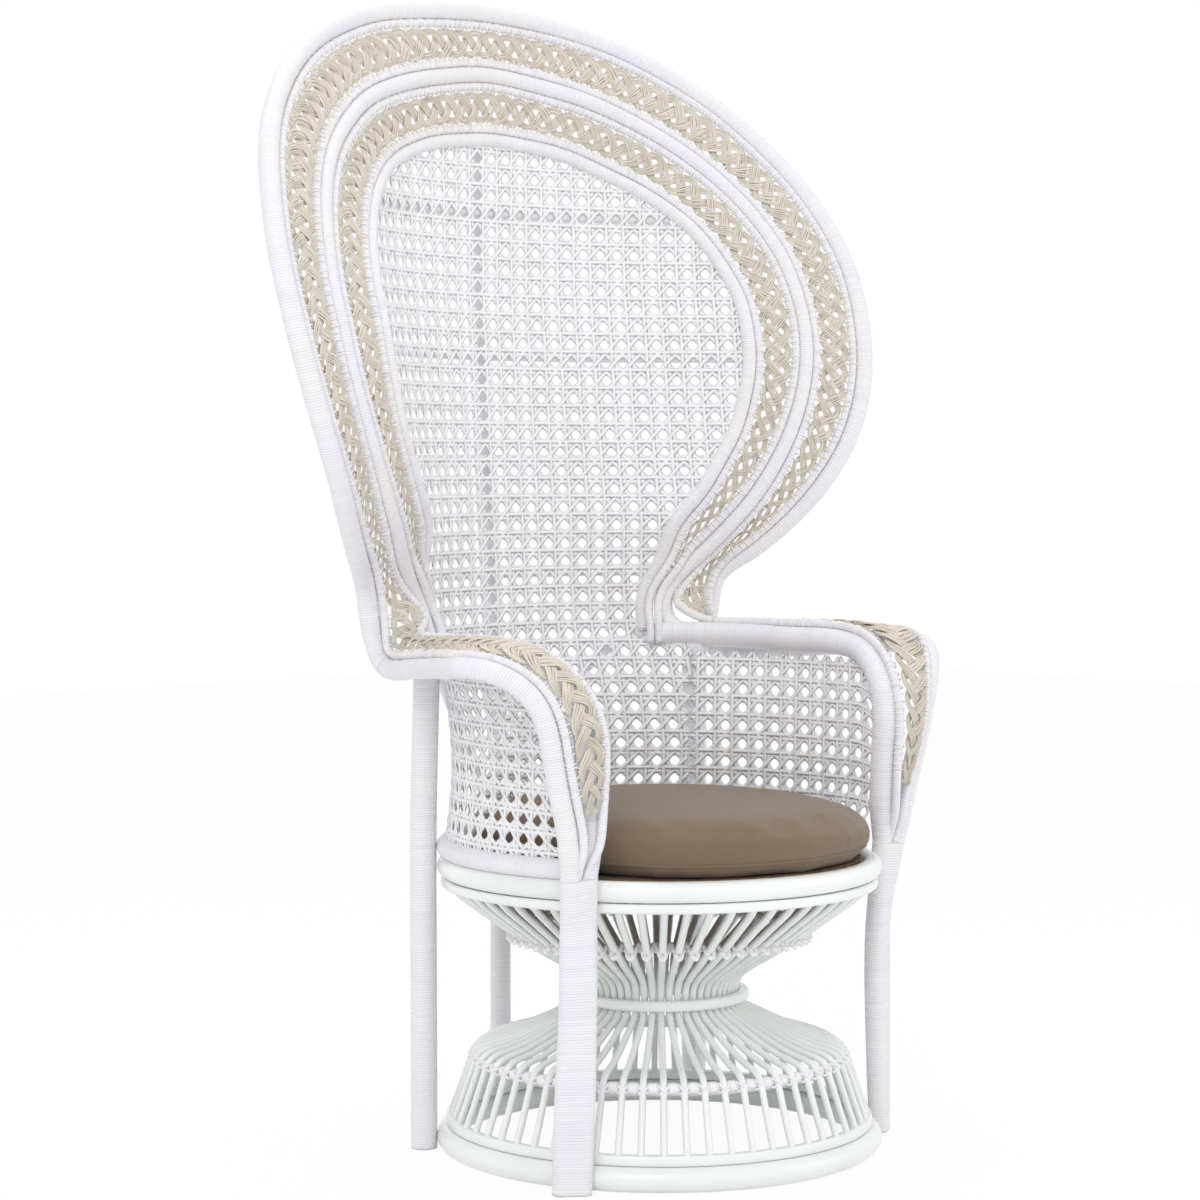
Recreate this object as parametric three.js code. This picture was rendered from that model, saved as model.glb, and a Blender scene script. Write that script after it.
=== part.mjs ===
// Peacock chair: a slatted hourglass base, a round seat, wrapped arms and a tall fan shaped back.
// Millimetres, +Z up, and the chair faces -Y. The pieces are laid out about the base's vertical axis.
// Angles round the seat start at the back, +Y, and grow towards the occupant's left, +X.
import * as THREE from 'three';

// Clearances
const clearance = 0.4;
const bandClearance = 0.6;
const bendLooseShare = 5;

// Seat
const seatRadius = 279;
const seatRingRadius = 13;
const seatHeight = 368;
const seatHoopHeight = 12;
const seatHoopWidth = 13;
const deckThickness = 8;
const deckSlotCount = 7;
const deckSlotShare = 0.58;
const deckRim = 22;
const cushionRadius = 247;
const cushionFrontBulge = 24;
const cushionHeight = 70;
const cushionForward = 10;
const wrapHoopRadius = 12.5;

// Base
const baseFlare = 1;
const baseRadius = seatRadius + baseFlare;
const baseRingHalf = 15;
const baseHoopHeight = 13.4;
const baseHoopWidth = 14;
const slatWidth = 8;
const slatCount = 60;
const slatTopInset = 12;
const shoulderShare = 0.825;
const shoulderRadius = shoulderShare * baseRadius;
const shoulderHeight = 125;
const waistRadius = 94;
const waistHeight = 185;
const waistHoopRadius = 7;
const thinHoopHalf = 4.5;
const scallopRadius = 184;
const scallopHeight = 270;
const throatRadius = 122;
const throatHeight = 230;

// Poles and thin wrapped strips
const outerPole = 12.5;
const innerPole = 12;
const postPole = 16;
const fanMiddlePole = 11;
const fanInnerPole = 8.5;
const rearPole = 16.5;
const spinePole = 13.5;
const barRadius = 8;
const braceRadius = 7;
const stripRadius = 5;
const braidThickness = 5;
const caneThickness = 3;

// Arms
const armHeight = 612;
const armOuterReach = 384;
const railRadius = 280;
const postAngle = 120;
const postTopLean = 0.8;
const hoopEndAngle = 117.3;
const bulgeRun = 20;
const footAngle = 118.8;
const postKneeHeight = 372;
const cornerBend = 35;
const cornerAcross = 287;
const cornerDepth = 204;
const rearPostAngle = 52.5;
const rearPostKnee = 402;
const panelDip = 12;
const panelTuck = 9;
const braceClear = 2.4;
const frontLean = 3.4;

// Fan
const fanHalfWidth = 490;
const fanHeight = 1452;
const fanBack = 347;
const wingReach = 250;
const spineFootGap = 29;
const spineHeight = 1282;

// Counts
const ringSteps = 40;
const poleSides = 6;
const stripSides = 4;
const fanSubSteps = 2;
const armSubSteps = 2;
const caneColumns = 12;

const up = new THREE.Vector3(0, 0, 1);
const fanRise = fanHeight - armHeight;
const degrees = THREE.MathUtils.degToRad;
const mix = THREE.MathUtils.lerp;

// Distance from a pole's middle to its flat side.
function flatOf(radius, sides) {
  return radius * Math.cos(Math.PI / sides);
}

// Point at an angle from the back, a radius and a height.
function polar(angle, radius, height) {
  return new THREE.Vector3(radius * Math.sin(degrees(angle)), radius * Math.cos(degrees(angle)), height);
}

// Angle of an arc length at a radius.
function degreesOf(arcLength, radius) {
  return THREE.MathUtils.radToDeg(arcLength / radius);
}

function mirrored(point, side) {
  return new THREE.Vector3(point.x * side, point.y, point.z);
}

// Closed surface through rows of section points. Each row is one station, and all hold as many points.
function skin(rows, ringClosed = false) {
  const across = rows[0].length;
  const triangles = [];
  const last = ringClosed ? rows.length : rows.length - 1;
  for (let i = 0; i < last; i += 1) {
    const j = (i + 1) % rows.length;
    for (let k = 0; k < across; k += 1) {
      const m = (k + 1) % across;
      triangles.push([rows[i][k], rows[j][k], rows[j][m]]);
      triangles.push([rows[i][k], rows[j][m], rows[i][m]]);
    }
  }
  if (!ringClosed) {
    const first = rows[0];
    const end = rows[rows.length - 1];
    for (let k = 1; k < across - 1; k += 1) {
      triangles.push([first[0], first[k], first[k + 1]]);
      triangles.push([end[0], end[k + 1], end[k]]);
    }
  }
  return solid(triangles);
}

// Mesh geometry of a closed triangle list, turned so that its faces point out.
function solid(triangles) {
  let volume = 0;
  const cross = new THREE.Vector3();
  for (const [a, b, c] of triangles) {
    volume += a.dot(cross.crossVectors(b, c));
  }
  const values = [];
  for (const [a, b, c] of triangles) {
    const order = volume < 0 ? [a, c, b] : [a, b, c];
    for (const point of order) values.push(point.x, point.y, point.z);
  }
  const geometry = new THREE.BufferGeometry();
  geometry.setAttribute('position', new THREE.Float32BufferAttribute(values, 3));
  geometry.computeVertexNormals();
  return geometry;
}

// Directions along a line of points.
function tangents(points) {
  return points.map((point, i) => {
    const before = points[Math.max(i - 1, 0)];
    const after = points[Math.min(i + 1, points.length - 1)];
    return after.clone().sub(before).normalize();
  });
}

// How the line bends at each point: the direction of the bend and how much a section stretches along it.
function bends(points) {
  return points.map((point, i) => {
    if (i === 0 || i === points.length - 1) return { way: up, stretch: 0 };
    const before = point.clone().sub(points[i - 1]).normalize();
    const after = points[i + 1].clone().sub(point).normalize();
    const half = before.angleTo(after) / 2;
    return { way: after.sub(before).normalize(), stretch: 1 / Math.cos(half) - 1 };
  });
}

// Point beside a line, moved out a little where the line bends, so that it keeps its distance.
function beside(point, offset, { way, stretch }) {
  return point.clone().add(offset).addScaledVector(way, stretch * offset.dot(way));
}

// Round section with one flat side facing the guide direction.
function section(middle, along, guide, radius, sides, bend) {
  const a = guide.clone().addScaledVector(along, -guide.dot(along)).normalize();
  const b = along.clone().cross(a);
  return Array.from({ length: sides }, (_, k) => {
    const turn = ((k + 0.5) * 2 * Math.PI) / sides;
    const offset = a.clone().multiplyScalar(radius * Math.cos(turn))
      .addScaledVector(b, radius * Math.sin(turn));
    return beside(middle, offset, bend);
  });
}

// Pole through points, of one radius or one for each point. The guides say where its flat side faces, and the
// ends can be given a direction.
function pole(points, guides, radius, sides, ends = {}) {
  const along = tangents(points);
  if (ends.first) along[0] = ends.first;
  if (ends.last) along[along.length - 1] = ends.last;
  const turns = bends(points);
  const radii = Array.isArray(radius) ? radius : points.map(() => radius);
  return skin(points.map((point, i) => section(point, along[i], guides[i], radii[i], sides, turns[i])));
}

// Smooth line through control points, with the same count of steps between each two of them.
function smooth(controls, subSteps) {
  const curve = new THREE.CatmullRomCurve3(controls, false, 'centripetal');
  const count = (controls.length - 1) * subSteps;
  return Array.from({ length: count + 1 }, (_, i) => curve.getPoint(i / count));
}

// Directions from one line of points to the next.
function toward(from, to) {
  return from.map((point, i) => to[i].clone().sub(point).normalize());
}

// Directions turned square to the line that they start from.
function square(directions, along) {
  return directions.map((direction, i) => direction.clone()
    .addScaledVector(along[i], -direction.dot(along[i])).normalize());
}

// Strip that lies against a pole, on the side that the directions point to.
function stripLine(line, directions, poleRadius) {
  const step = flatOf(poleRadius, poleSides) + bandClearance + flatOf(stripRadius, stripSides);
  const turns = bends(line);
  return line.map((point, i) => {
    const off = step * (1 + bendLooseShare * turns[i].stretch);
    return beside(point, directions[i].clone().multiplyScalar(off), turns[i]);
  });
}

// Flat woven band between two strips. The directions point from each strip into the band.
function bandRows(outerStrip, innerStrip, fromOuter, fromInner, along) {
  const inset = flatOf(stripRadius, stripSides) + bandClearance;
  return outerStrip.map((point, i) => {
    const near = point.clone().addScaledVector(fromOuter[i], inset);
    const far = innerStrip[i].clone().addScaledVector(fromInner[i], inset);
    const b = along[i].clone().cross(far.clone().sub(near)).normalize();
    const half = braidThickness / 2;
    return [
      near.clone().addScaledVector(b, half),
      far.clone().addScaledVector(b, half),
      far.clone().addScaledVector(b, -half),
      near.clone().addScaledVector(b, -half),
    ];
  });
}

// Point of the rail at an angle round the seat.
function railAt(line, angle) {
  const angleOf = (point) => THREE.MathUtils.radToDeg(Math.atan2(point.x, point.y));
  for (let i = line.length - 1; i > 2; i -= 1) {
    const near = angleOf(line[i]);
    const far = angleOf(line[i - 1]);
    if (far >= angle) return line[i].clone().lerp(line[i - 1], Math.max(0, (angle - near) / (far - near)));
  }
  return line[2].clone();
}

// Ring of round section about the vertical axis.
function ring(middleRadius, height, sectionRadius, sides, steps) {
  const profile = [];
  for (let k = 0; k <= sides; k += 1) {
    const turn = (((k % sides) + 0.5) * 2 * Math.PI) / sides;
    profile.push(new THREE.Vector2(
      middleRadius + sectionRadius * Math.cos(turn), sectionRadius * Math.sin(turn)));
  }
  const geometry = new THREE.LatheGeometry(profile, steps);
  geometry.rotateX(Math.PI / 2);
  geometry.translate(0, 0, height);
  return geometry;
}

// Cage of slats that grow out of one hoop. The hoop's section and the slat's line are points of radius and
// height. The hoop's first two points carry the slats.
function slatCage(hoop, slatLine) {
  const triangles = [];
  const half = slatWidth / 2;
  const pitch = (2 * Math.PI) / slatCount;
  const at = (radius, height, angle, aside) => new THREE.Vector3(
    radius * Math.sin(angle) + aside * Math.cos(angle),
    radius * Math.cos(angle) - aside * Math.sin(angle),
    height);
  const quad = (a, b, c, d) => triangles.push([a, b, c], [a, c, d]);
  const hoopStations = [];
  for (let i = 0; i < slatCount; i += 1) {
    for (const aside of [-half, half]) {
      hoopStations.push(hoop.map(([radius, height]) => at(radius, height, i * pitch, aside)));
    }
  }
  hoopStations.forEach((station, i) => {
    const next = hoopStations[(i + 1) % hoopStations.length];
    for (let k = 0; k < hoop.length; k += 1) {
      const m = (k + 1) % hoop.length;
      const carriesSlat = k === 0 && i % 2 === 0;
      if (!carriesSlat) quad(station[k], next[k], next[m], station[m]);
    }
  });
  for (let i = 0; i < slatCount; i += 1) {
    const angle = i * pitch;
    const rows = slatLine.map((point, s) => {
      if (s === 0) {
        const [outer, inner] = hoop;
        return [
          at(outer[0], outer[1], angle, -half),
          at(outer[0], outer[1], angle, half),
          at(inner[0], inner[1], angle, half),
          at(inner[0], inner[1], angle, -half),
        ];
      }
      const before = slatLine[s - 1];
      const after = slatLine[Math.min(s + 1, slatLine.length - 1)];
      const run = Math.hypot(after[0] - before[0], after[1] - before[1]);
      const side = Math.sign(after[1] - before[1]);
      const outR = (side * half * (after[1] - before[1])) / run;
      const outZ = (-side * half * (after[0] - before[0])) / run;
      return [
        at(point[0] + outR, point[1] + outZ, angle, -half),
        at(point[0] + outR, point[1] + outZ, angle, half),
        at(point[0] - outR, point[1] - outZ, angle, half),
        at(point[0] - outR, point[1] - outZ, angle, -half),
      ];
    });
    for (let s = 0; s < rows.length - 1; s += 1) {
      for (let k = 0; k < 4; k += 1) {
        const m = (k + 1) % 4;
        quad(rows[s][k], rows[s][m], rows[s + 1][m], rows[s + 1][k]);
      }
    }
    const end = rows[rows.length - 1];
    quad(end[0], end[1], end[2], end[3]);
  }
  return orientedSolid(triangles);
}

// Triangles of a closed surface whose quads were listed in either turn: each neighbour is made to agree.
function orientedSolid(triangles) {
  const key = (p) => `${p.x.toFixed(4)},${p.y.toFixed(4)},${p.z.toFixed(4)}`;
  const keys = triangles.map((t) => t.map(key));
  const edges = new Map();
  keys.forEach((t, i) => {
    for (let k = 0; k < 3; k += 1) {
      const pair = [t[k], t[(k + 1) % 3]].sort().join('|');
      if (!edges.has(pair)) edges.set(pair, []);
      edges.get(pair).push(i);
    }
  });
  const done = new Array(triangles.length).fill(false);
  const queue = [0];
  done[0] = true;
  while (queue.length > 0) {
    const i = queue.pop();
    for (let k = 0; k < 3; k += 1) {
      const from = keys[i][k];
      const to = keys[i][(k + 1) % 3];
      for (const j of edges.get([from, to].sort().join('|'))) {
        if (done[j]) continue;
        const sameTurn = [0, 1, 2].some((m) => keys[j][m] === from && keys[j][(m + 1) % 3] === to);
        if (sameTurn) {
          triangles[j] = [triangles[j][0], triangles[j][2], triangles[j][1]];
          keys[j] = [keys[j][0], keys[j][2], keys[j][1]];
        }
        done[j] = true;
        queue.push(j);
      }
    }
  }
  return solid(triangles);
}

// Thin shell of even thickness over a grid of points, with rows of equal length. With an open share, each block
// of two by two cells has an opening, whose width and height are that share of the block's.
function shell(grid, thickness, openShare = 0) {
  const lastRow = grid.length - 1;
  const lastColumn = grid[0].length - 1;
  const sheet = (sign) => grid.map((row, i) => row.map((point, j) => {
    const alongRow = row[Math.min(j + 1, lastColumn)].clone().sub(row[Math.max(j - 1, 0)]);
    const alongColumn = grid[Math.min(i + 1, lastRow)][j].clone().sub(grid[Math.max(i - 1, 0)][j]);
    return point.clone().addScaledVector(alongRow.cross(alongColumn).normalize(), (sign * thickness) / 2);
  }));
  const front = sheet(1);
  const back = sheet(-1);
  const triangles = [];
  const quad = (a, b, c, d) => triangles.push([a, b, c], [a, c, d]);
  const openRows = openShare === 0 ? 0 : lastRow - (lastRow % 2);
  for (let i = 0; i < openRows; i += 2) {
    for (let j = 0; j < lastColumn; j += 2) triangles.push(...openBlock(front, back, i, j, openShare));
  }
  for (let i = openRows; i < lastRow; i += 1) {
    for (let j = 0; j < lastColumn; j += 1) {
      for (const side of [front, back]) quad(side[i][j], side[i][j + 1], side[i + 1][j + 1], side[i + 1][j]);
    }
  }
  for (const i of [0, lastRow]) {
    for (let j = 0; j < lastColumn; j += 1) quad(front[i][j], front[i][j + 1], back[i][j + 1], back[i][j]);
  }
  for (const j of [0, lastColumn]) {
    for (let i = 0; i < lastRow; i += 1) quad(front[i][j], front[i + 1][j], back[i + 1][j], back[i][j]);
  }
  return orientedSolid(triangles);
}

// The triangles of one block of a shell: on both sides round its opening, and through the opening.
function openBlock(front, back, i, j, openShare) {
  const [near, far] = [front, back].map((side) => {
    const rim = [side[i][j], side[i][j + 1], side[i][j + 2], side[i + 1][j + 2],
      side[i + 2][j + 2], side[i + 2][j + 1], side[i + 2][j], side[i + 1][j]];
    const hole = [0, 2, 4, 6].map((k) => side[i + 1][j + 1].clone().lerp(rim[k], openShare));
    return { rim, hole };
  });
  return [0, 1, 2, 3].flatMap((k) => {
    const m = (k + 1) % 4;
    const rims = [near, far].flatMap(({ rim, hole }) => [
      [rim[2 * k], rim[2 * k + 1], hole[k]],
      [rim[2 * k + 1], hole[m], hole[k]],
      [rim[2 * k + 1], rim[2 * m], hole[m]],
    ]);
    const wall = [[near.hole[k], near.hole[m], far.hole[m]], [near.hole[k], far.hole[m], far.hole[k]]];
    return [...rims, ...wall];
  });
}

// Materials
const painted = new THREE.MeshStandardMaterial({ color: 0xf1f4ee, roughness: 0.25, metalness: 0 });
const wrapped = new THREE.MeshStandardMaterial({ color: 0xe9e9f0, roughness: 0.6, metalness: 0 });
const braided = new THREE.MeshStandardMaterial({ color: 0xd7cfb9, roughness: 0.7, metalness: 0 });
const caned = new THREE.MeshStandardMaterial({ color: 0xe4e4e8, roughness: 0.6, metalness: 0 });
const fabric = new THREE.MeshStandardMaterial({ color: 0x8c7864, roughness: 0.9, metalness: 0 });

const chair = new THREE.Group();

function add(name, geometry, material) {
  const mesh = new THREE.Mesh(geometry, material);
  mesh.name = name;
  chair.add(mesh);
  return mesh;
}

// Base: a thick floor ring, the lower cage that stands on it and the hoops that its slats are tied to.
const floorRingSection = baseRingHalf / Math.cos(Math.PI / 8);
add('base_ring', ring(baseRadius - baseRingHalf, baseRingHalf, floorRingSection, 8, ringSteps), painted);

const lowerHoopBottom = 2 * baseRingHalf + clearance;
const lowerHoopTop = lowerHoopBottom + baseHoopHeight;
const lowerHoopMiddle = baseRadius - slatTopInset - baseHoopWidth / 2;
const shoulderShares = [[0.81, 0.41], [0.5, 0.72]];
const lowerTop = waistHeight - slatWidth / 2 - clearance;
const coneLine = shoulderShares.map(([outShare, riseShare]) => [
  mix(waistRadius, shoulderRadius, outShare), mix(shoulderHeight, lowerTop, riseShare)]);
add('lower_slat_cage', slatCage(
  [
    [lowerHoopMiddle + slatWidth / 2, lowerHoopTop],
    [lowerHoopMiddle - slatWidth / 2, lowerHoopTop],
    [lowerHoopMiddle - baseHoopWidth / 2, lowerHoopBottom],
    [lowerHoopMiddle + baseHoopWidth / 2, lowerHoopBottom],
  ],
  [
    [lowerHoopMiddle, lowerHoopTop],
    [shoulderRadius, shoulderHeight],
    ...coneLine,
    [waistRadius, lowerTop],
  ]), painted);

// A thin hoop lies against the inner side of the slats, at a share of the way along a straight run of them,
// where the slats are a little thinner towards the hoop that carries them.
function slatHoop(name, from, to, share, carriedShare) {
  const half = thinHoopHalf;
  const run = Math.hypot(to[0] - from[0], to[1] - from[1]);
  const slatHalf = (slatWidth / 2) * mix(1, Math.abs(to[1] - from[1]) / run, carriedShare);
  const reach = (half * (Math.abs(to[0] - from[0]) + Math.abs(to[1] - from[1]))) / run;
  const off = slatHalf + reach + clearance;
  const middle = mix(from[0], to[0], share) - (off * (to[1] - from[1])) / run;
  const height = mix(from[1], to[1], share) + (off * (to[0] - from[0])) / run;
  add(name, ring(middle, height, half / Math.cos(Math.PI / 4), 4, slatCount), painted);
}
const shoulderHoopShare = 0.87;
slatHoop('shoulder_hoop', [lowerHoopMiddle, lowerHoopTop], [shoulderRadius, shoulderHeight],
  shoulderHoopShare, 1 - shoulderHoopShare);

const waistSteps = slatCount / 2;
const waistInner = (waistRadius + slatWidth / 2 + clearance) / Math.cos(Math.PI / waistSteps);
const waistHoopMiddle = waistInner + flatOf(waistHoopRadius, 6);
const waistMiddleHeight = waistHeight + waistHoopRadius + clearance;
add('waist_ring', ring(waistHoopMiddle, waistMiddleHeight, waistHoopRadius, 6, waistSteps), painted);

// Seat: the upper cage, the thick seat ring, the slotted deck and the loose cushion.
const seatRingMiddle = seatRadius - seatRingRadius;
const seatRingHeight = seatHeight - seatRingRadius;
const upperHoopTop = seatHeight - 2 * seatRingRadius - clearance;
const upperHoopBottom = upperHoopTop - seatHoopHeight;
const upperHoopMiddle = seatRadius - seatHoopWidth - slatWidth / 4;
const neckShare = 2.5;
const upperNeck = waistHeight + neckShare * waistHoopRadius;
add('upper_slat_cage', slatCage(
  [
    [upperHoopMiddle + slatWidth / 2, upperHoopBottom],
    [upperHoopMiddle - slatWidth / 2, upperHoopBottom],
    [upperHoopMiddle - seatHoopWidth / 2, upperHoopTop],
    [upperHoopMiddle + seatHoopWidth / 2, upperHoopTop],
  ],
  [
    [upperHoopMiddle, upperHoopBottom],
    [scallopRadius, scallopHeight],
    [throatRadius, throatHeight],
    [waistRadius, upperNeck],
    [waistRadius, waistHeight + slatWidth / 4],
  ]), painted);

const scallopShare = 0.8;
slatHoop('scallop_hoop', [throatRadius, throatHeight], [scallopRadius, scallopHeight], scallopShare, 0);

const seatRingSection = seatRingRadius / Math.cos(Math.PI / 8);
add('seat_ring', ring(seatRingMiddle, seatRingHeight, seatRingSection, 8, ringSteps), painted);

const deckTop = seatHeight - clearance;
const deckRadius = seatRingMiddle - seatRingRadius - clearance;
function deckGeometry() {
  const outline = new THREE.Shape(Array.from({ length: ringSteps }, (_, i) => {
    const turn = (2 * Math.PI * i) / ringSteps;
    return new THREE.Vector2(deckRadius * Math.cos(turn), deckRadius * Math.sin(turn));
  }));
  const slotReach = deckRadius - deckRim;
  const pitch = (2 * slotReach) / deckSlotCount;
  for (let i = 0; i < deckSlotCount; i += 1) {
    const middle = -slotReach + (i + 0.5) * pitch;
    const half = (pitch * deckSlotShare) / 2;
    const widest = Math.max(Math.abs(middle - half), Math.abs(middle + half));
    const reach = Math.sqrt(slotReach ** 2 - widest ** 2) - slatWidth / 2;
    const slot = new THREE.Path();
    slot.moveTo(middle - half, -reach);
    slot.lineTo(middle - half, reach);
    slot.lineTo(middle + half, reach);
    slot.lineTo(middle + half, -reach);
    slot.closePath();
    outline.holes.push(slot);
  }
  const geometry = new THREE.ExtrudeGeometry(outline, {
    depth: deckThickness, bevelEnabled: false });
  geometry.translate(0, 0, deckTop - deckThickness);
  return geometry;
}
add('seat_deck', deckGeometry(), painted);

// Cushion profile as shares of its radius and height: flat under, drawn in at the seam and crowned on top.
const cushionShares = [
  [0, 0], [0.9, 0], [0.953, 0.09], [0.977, 0.22], [0.995, 0.38], [1, 0.5], [0.982, 0.66],
  [0.91, 0.81], [0.7, 0.91], [0.36, 0.975], [0, 1],
];
const cushionProfile = cushionShares.map(([outShare, riseShare]) => new THREE.Vector2(
  outShare * cushionRadius, riseShare * cushionHeight));
const cushionGeometry = new THREE.LatheGeometry(cushionProfile, ringSteps);
cushionGeometry.rotateX(Math.PI / 2);
const cushionPlaces = cushionGeometry.attributes.position;
for (let i = 0; i < cushionPlaces.count; i += 1) {
  const x = cushionPlaces.getX(i);
  const y = cushionPlaces.getY(i);
  const turn = THREE.MathUtils.radToDeg(Math.atan2(Math.abs(x), y));
  const bulge = cushionFrontBulge * THREE.MathUtils.smoothstep(turn, hoopEndAngle, postAngle + bulgeRun);
  cushionPlaces.setX(i, x * (1 + bulge / cushionRadius));
  cushionPlaces.setY(i, y * (1 + bulge / cushionRadius));
}
cushionGeometry.translate(0, -cushionForward, seatHeight);
add('seat_cushion', cushionGeometry, fabric);

// Places round the seat that the poles share.
const spineFoot = seatRadius + spineFootGap;
const postRadius = seatRadius + innerPole + clearance;
const pairPitch = outerPole + innerPole + clearance;
const hoopMiddle = seatRadius - wrapHoopRadius + clearance * 2;
const hoopHeight = seatHeight + flatOf(wrapHoopRadius, poleSides) + clearance;
const panelBottom = hoopHeight + flatOf(wrapHoopRadius, poleSides) + clearance;

// Wrapped hoop on the seat ring, from one front post round the back to the other.
const hoopLine = Array.from({ length: ringSteps - 3 }, (_, i) => polar(
  mix(-hoopEndAngle, hoopEndAngle, i / (ringSteps - 4)), hoopMiddle, hoopHeight));
add('seat_hoop', pole(hoopLine, hoopLine.map(() => up), wrapHoopRadius, poleSides), wrapped);

// Inner arm pole: a front post that bends over into the rail and runs back to the foot of the fan.
// Rail places: angle, share of the way from rail radius to post radius, drop below the arm's top as a share.
const railEndShare = 0.3;
const railShares = [[116.2, 0.85, 0.013], [110.5, 0.55, -0.005], [98, 0.1, -0.016], [82, -0.3, -0.022],
  [65, 0, -0.025], [53, railEndShare, -0.025], [46.6, railEndShare, -0.023]];
const railPoints = railShares.map(([angle, outShare, dropShare]) => polar(
  angle, mix(railRadius, postRadius, outShare), armHeight * (1 - dropShare)));
const footRadius = baseRadius + innerPole + clearance;
const postRiseShares = [0, 0.4, 0.72];
const postTopShare = 0.875;
const postLine = [
  polar(footAngle, footRadius, 0),
  ...postRiseShares.map((share) => polar(postAngle, postRadius, mix(postKneeHeight, armHeight, share))),
  polar(postAngle - postTopLean, postRadius, mix(postKneeHeight, armHeight, postTopShare)),
];

// Outer arm pole: its foot stands behind the inner one's, and it leans out to the arm's outer edge.
// Places as shares: across, from the knee to the arm's outer edge; forward, of the post's; height above
// the knee.
const outerShares = [[0.24, 1.05, 0.4], [0.44, 1.07, 0.75], [0.58, 1.02, 0.9], [0.8, 0.87, 1]];
const knee = postLine[1];
const outerKnee = knee.clone().add(new THREE.Vector3(pairPitch, 0, 0));
const footStep = degreesOf(pairPitch, postRadius);
const outerFront = outerShares.map(([acrossShare, forwardShare, riseShare]) => new THREE.Vector3(
  mix(outerKnee.x, armOuterReach, acrossShare), knee.y * forwardShare,
  mix(postKneeHeight, armHeight, riseShare)));
const corner = new THREE.Vector3(cornerAcross, cornerDepth, armHeight - cornerBend / 4);
const armFrontShare = 0.55;
const armFrontDepth = knee.y * armFrontShare;
const armShares = [[0, 0, -1.2], [0.09, 0.12, -0.8], [0.5, 0.41, -0.15], [0.83, 0.74, 0.7], [0.96, 0.85, 0.95]];
const armTopLine = armShares.map(([inShare, backShare, dropShare]) => new THREE.Vector3(
  mix(armOuterReach, cornerAcross, inShare), mix(armFrontDepth, cornerDepth, backShare),
  mix(armHeight, corner.z, dropShare)));
const outerFoot = polar(footAngle - footStep, footRadius, 0);

// The two feet turn round each other on their way up to the knee, side by side all the way.
const turnShares = [1 / 3, 2 / 3];
const innerLeg = [postLine[0], ...turnShares.map((share) => postLine[0].clone().lerp(knee, share))];
const footTurn = Math.atan2(outerFoot.y - postLine[0].y, outerFoot.x - postLine[0].x);
const outerLeg = innerLeg.map((point, i) => {
  const turn = footTurn * (1 - [0, ...turnShares][i]);
  const reach = i === 0 ? pairPitch : pairPitch + clearance * 2;
  return point.clone().add(new THREE.Vector3(reach * Math.cos(turn), reach * Math.sin(turn), 0));
});
const innerControls = [...postLine.slice(1), ...railPoints];
const outerControls = [outerKnee, ...outerFront, ...armTopLine];

// Fan outlines as shares: across of the half width, forward of the wings' reach, height above the arms.
const fanOuterShares = [
  [0, 0, 1], [0.35, 0.03, 0.98], [0.627, 0.18, 0.921], [0.84, 0.43, 0.818], [0.955, 0.67, 0.706],
  [1, 0.88, 0.569], [0.975, 0.985, 0.438], [0.895, 0.985, 0.311], [0.76, 0.8, 0.19],
  [0.665, 0.624, 0.124], [0.616, 0.56, 0.071],
];
const fanInnerShares = [
  [0, 0.09, 0.799], [0.22, 0.13, 0.783], [0.388, 0.23, 0.748], [0.52, 0.41, 0.694], [0.604, 0.57, 0.623],
  [0.641, 0.7, 0.531], [0.635, 0.776, 0.446], [0.582, 0.76, 0.338], [0.496, 0.684, 0.248],
  [0.433, 0.575, 0.164], [0.392, 0.484, 0.088],
];
const middleShares = [0.5, 0.5, 0.5, 0.49, 0.5, 0.5, 0.5, 0.5, 0.47, 0.54, 0.72];
const fanPoint = ([acrossShare, forwardShare, riseShare]) => new THREE.Vector3(
  acrossShare * fanHalfWidth, fanBack - forwardShare * wingReach, armHeight + riseShare * fanRise);
const outerHalf = fanOuterShares.map(fanPoint);
const innerHalf = fanInnerShares.map(fanPoint);
const middleHalf = outerHalf.map((point, i) => point.clone().lerp(innerHalf[i], middleShares[i]));

// Feet of the three fan poles: a splice with the arm pole, the rail's top, and a free wrapped end.
const cornerUp = outerHalf[outerHalf.length - 1].clone().sub(corner).normalize();
const spliceBelow = corner.clone().addScaledVector(cornerUp, cornerBend);
outerHalf.push(corner.clone().addScaledVector(cornerUp, cornerBend + clearance));
const railEnd = railPoints[railPoints.length - 1];
const railLast = railPoints[railPoints.length - 2];
const middleFoot = railEnd.clone().lerp(railLast, fanMiddlePole / railEnd.distanceTo(railLast));
middleHalf.push(new THREE.Vector3(middleFoot.x, middleFoot.y, middleFoot.z + postPole + clearance));
const innerFootAngle = 40.5;
innerHalf.push(polar(innerFootAngle, postRadius - fanInnerPole, railEnd.z));

// Whole outline, from the left foot over the top to the right foot.
function bothSides(half) {
  const left = half.slice().reverse();
  const right = half.slice(1).map((point) => mirrored(point, -1));
  return smooth([...left, ...right], fanSubSteps);
}
const outerFan = bothSides(outerHalf);
const middleFan = bothSides(middleHalf);
const innerFan = bothSides(innerHalf);
const outerAlong = tangents(outerFan);
const middleAlong = tangents(middleFan);
const innerAlong = tangents(innerFan);
const inOuter = square(toward(outerFan, middleFan), outerAlong);
const outOfMiddle = square(toward(middleFan, outerFan), middleAlong);
const inMiddle = square(toward(middleFan, innerFan), middleAlong);
const outOfInner = square(toward(innerFan, middleFan), innerAlong);
const flatEnds = { first: up, last: up.clone().negate() };

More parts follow.
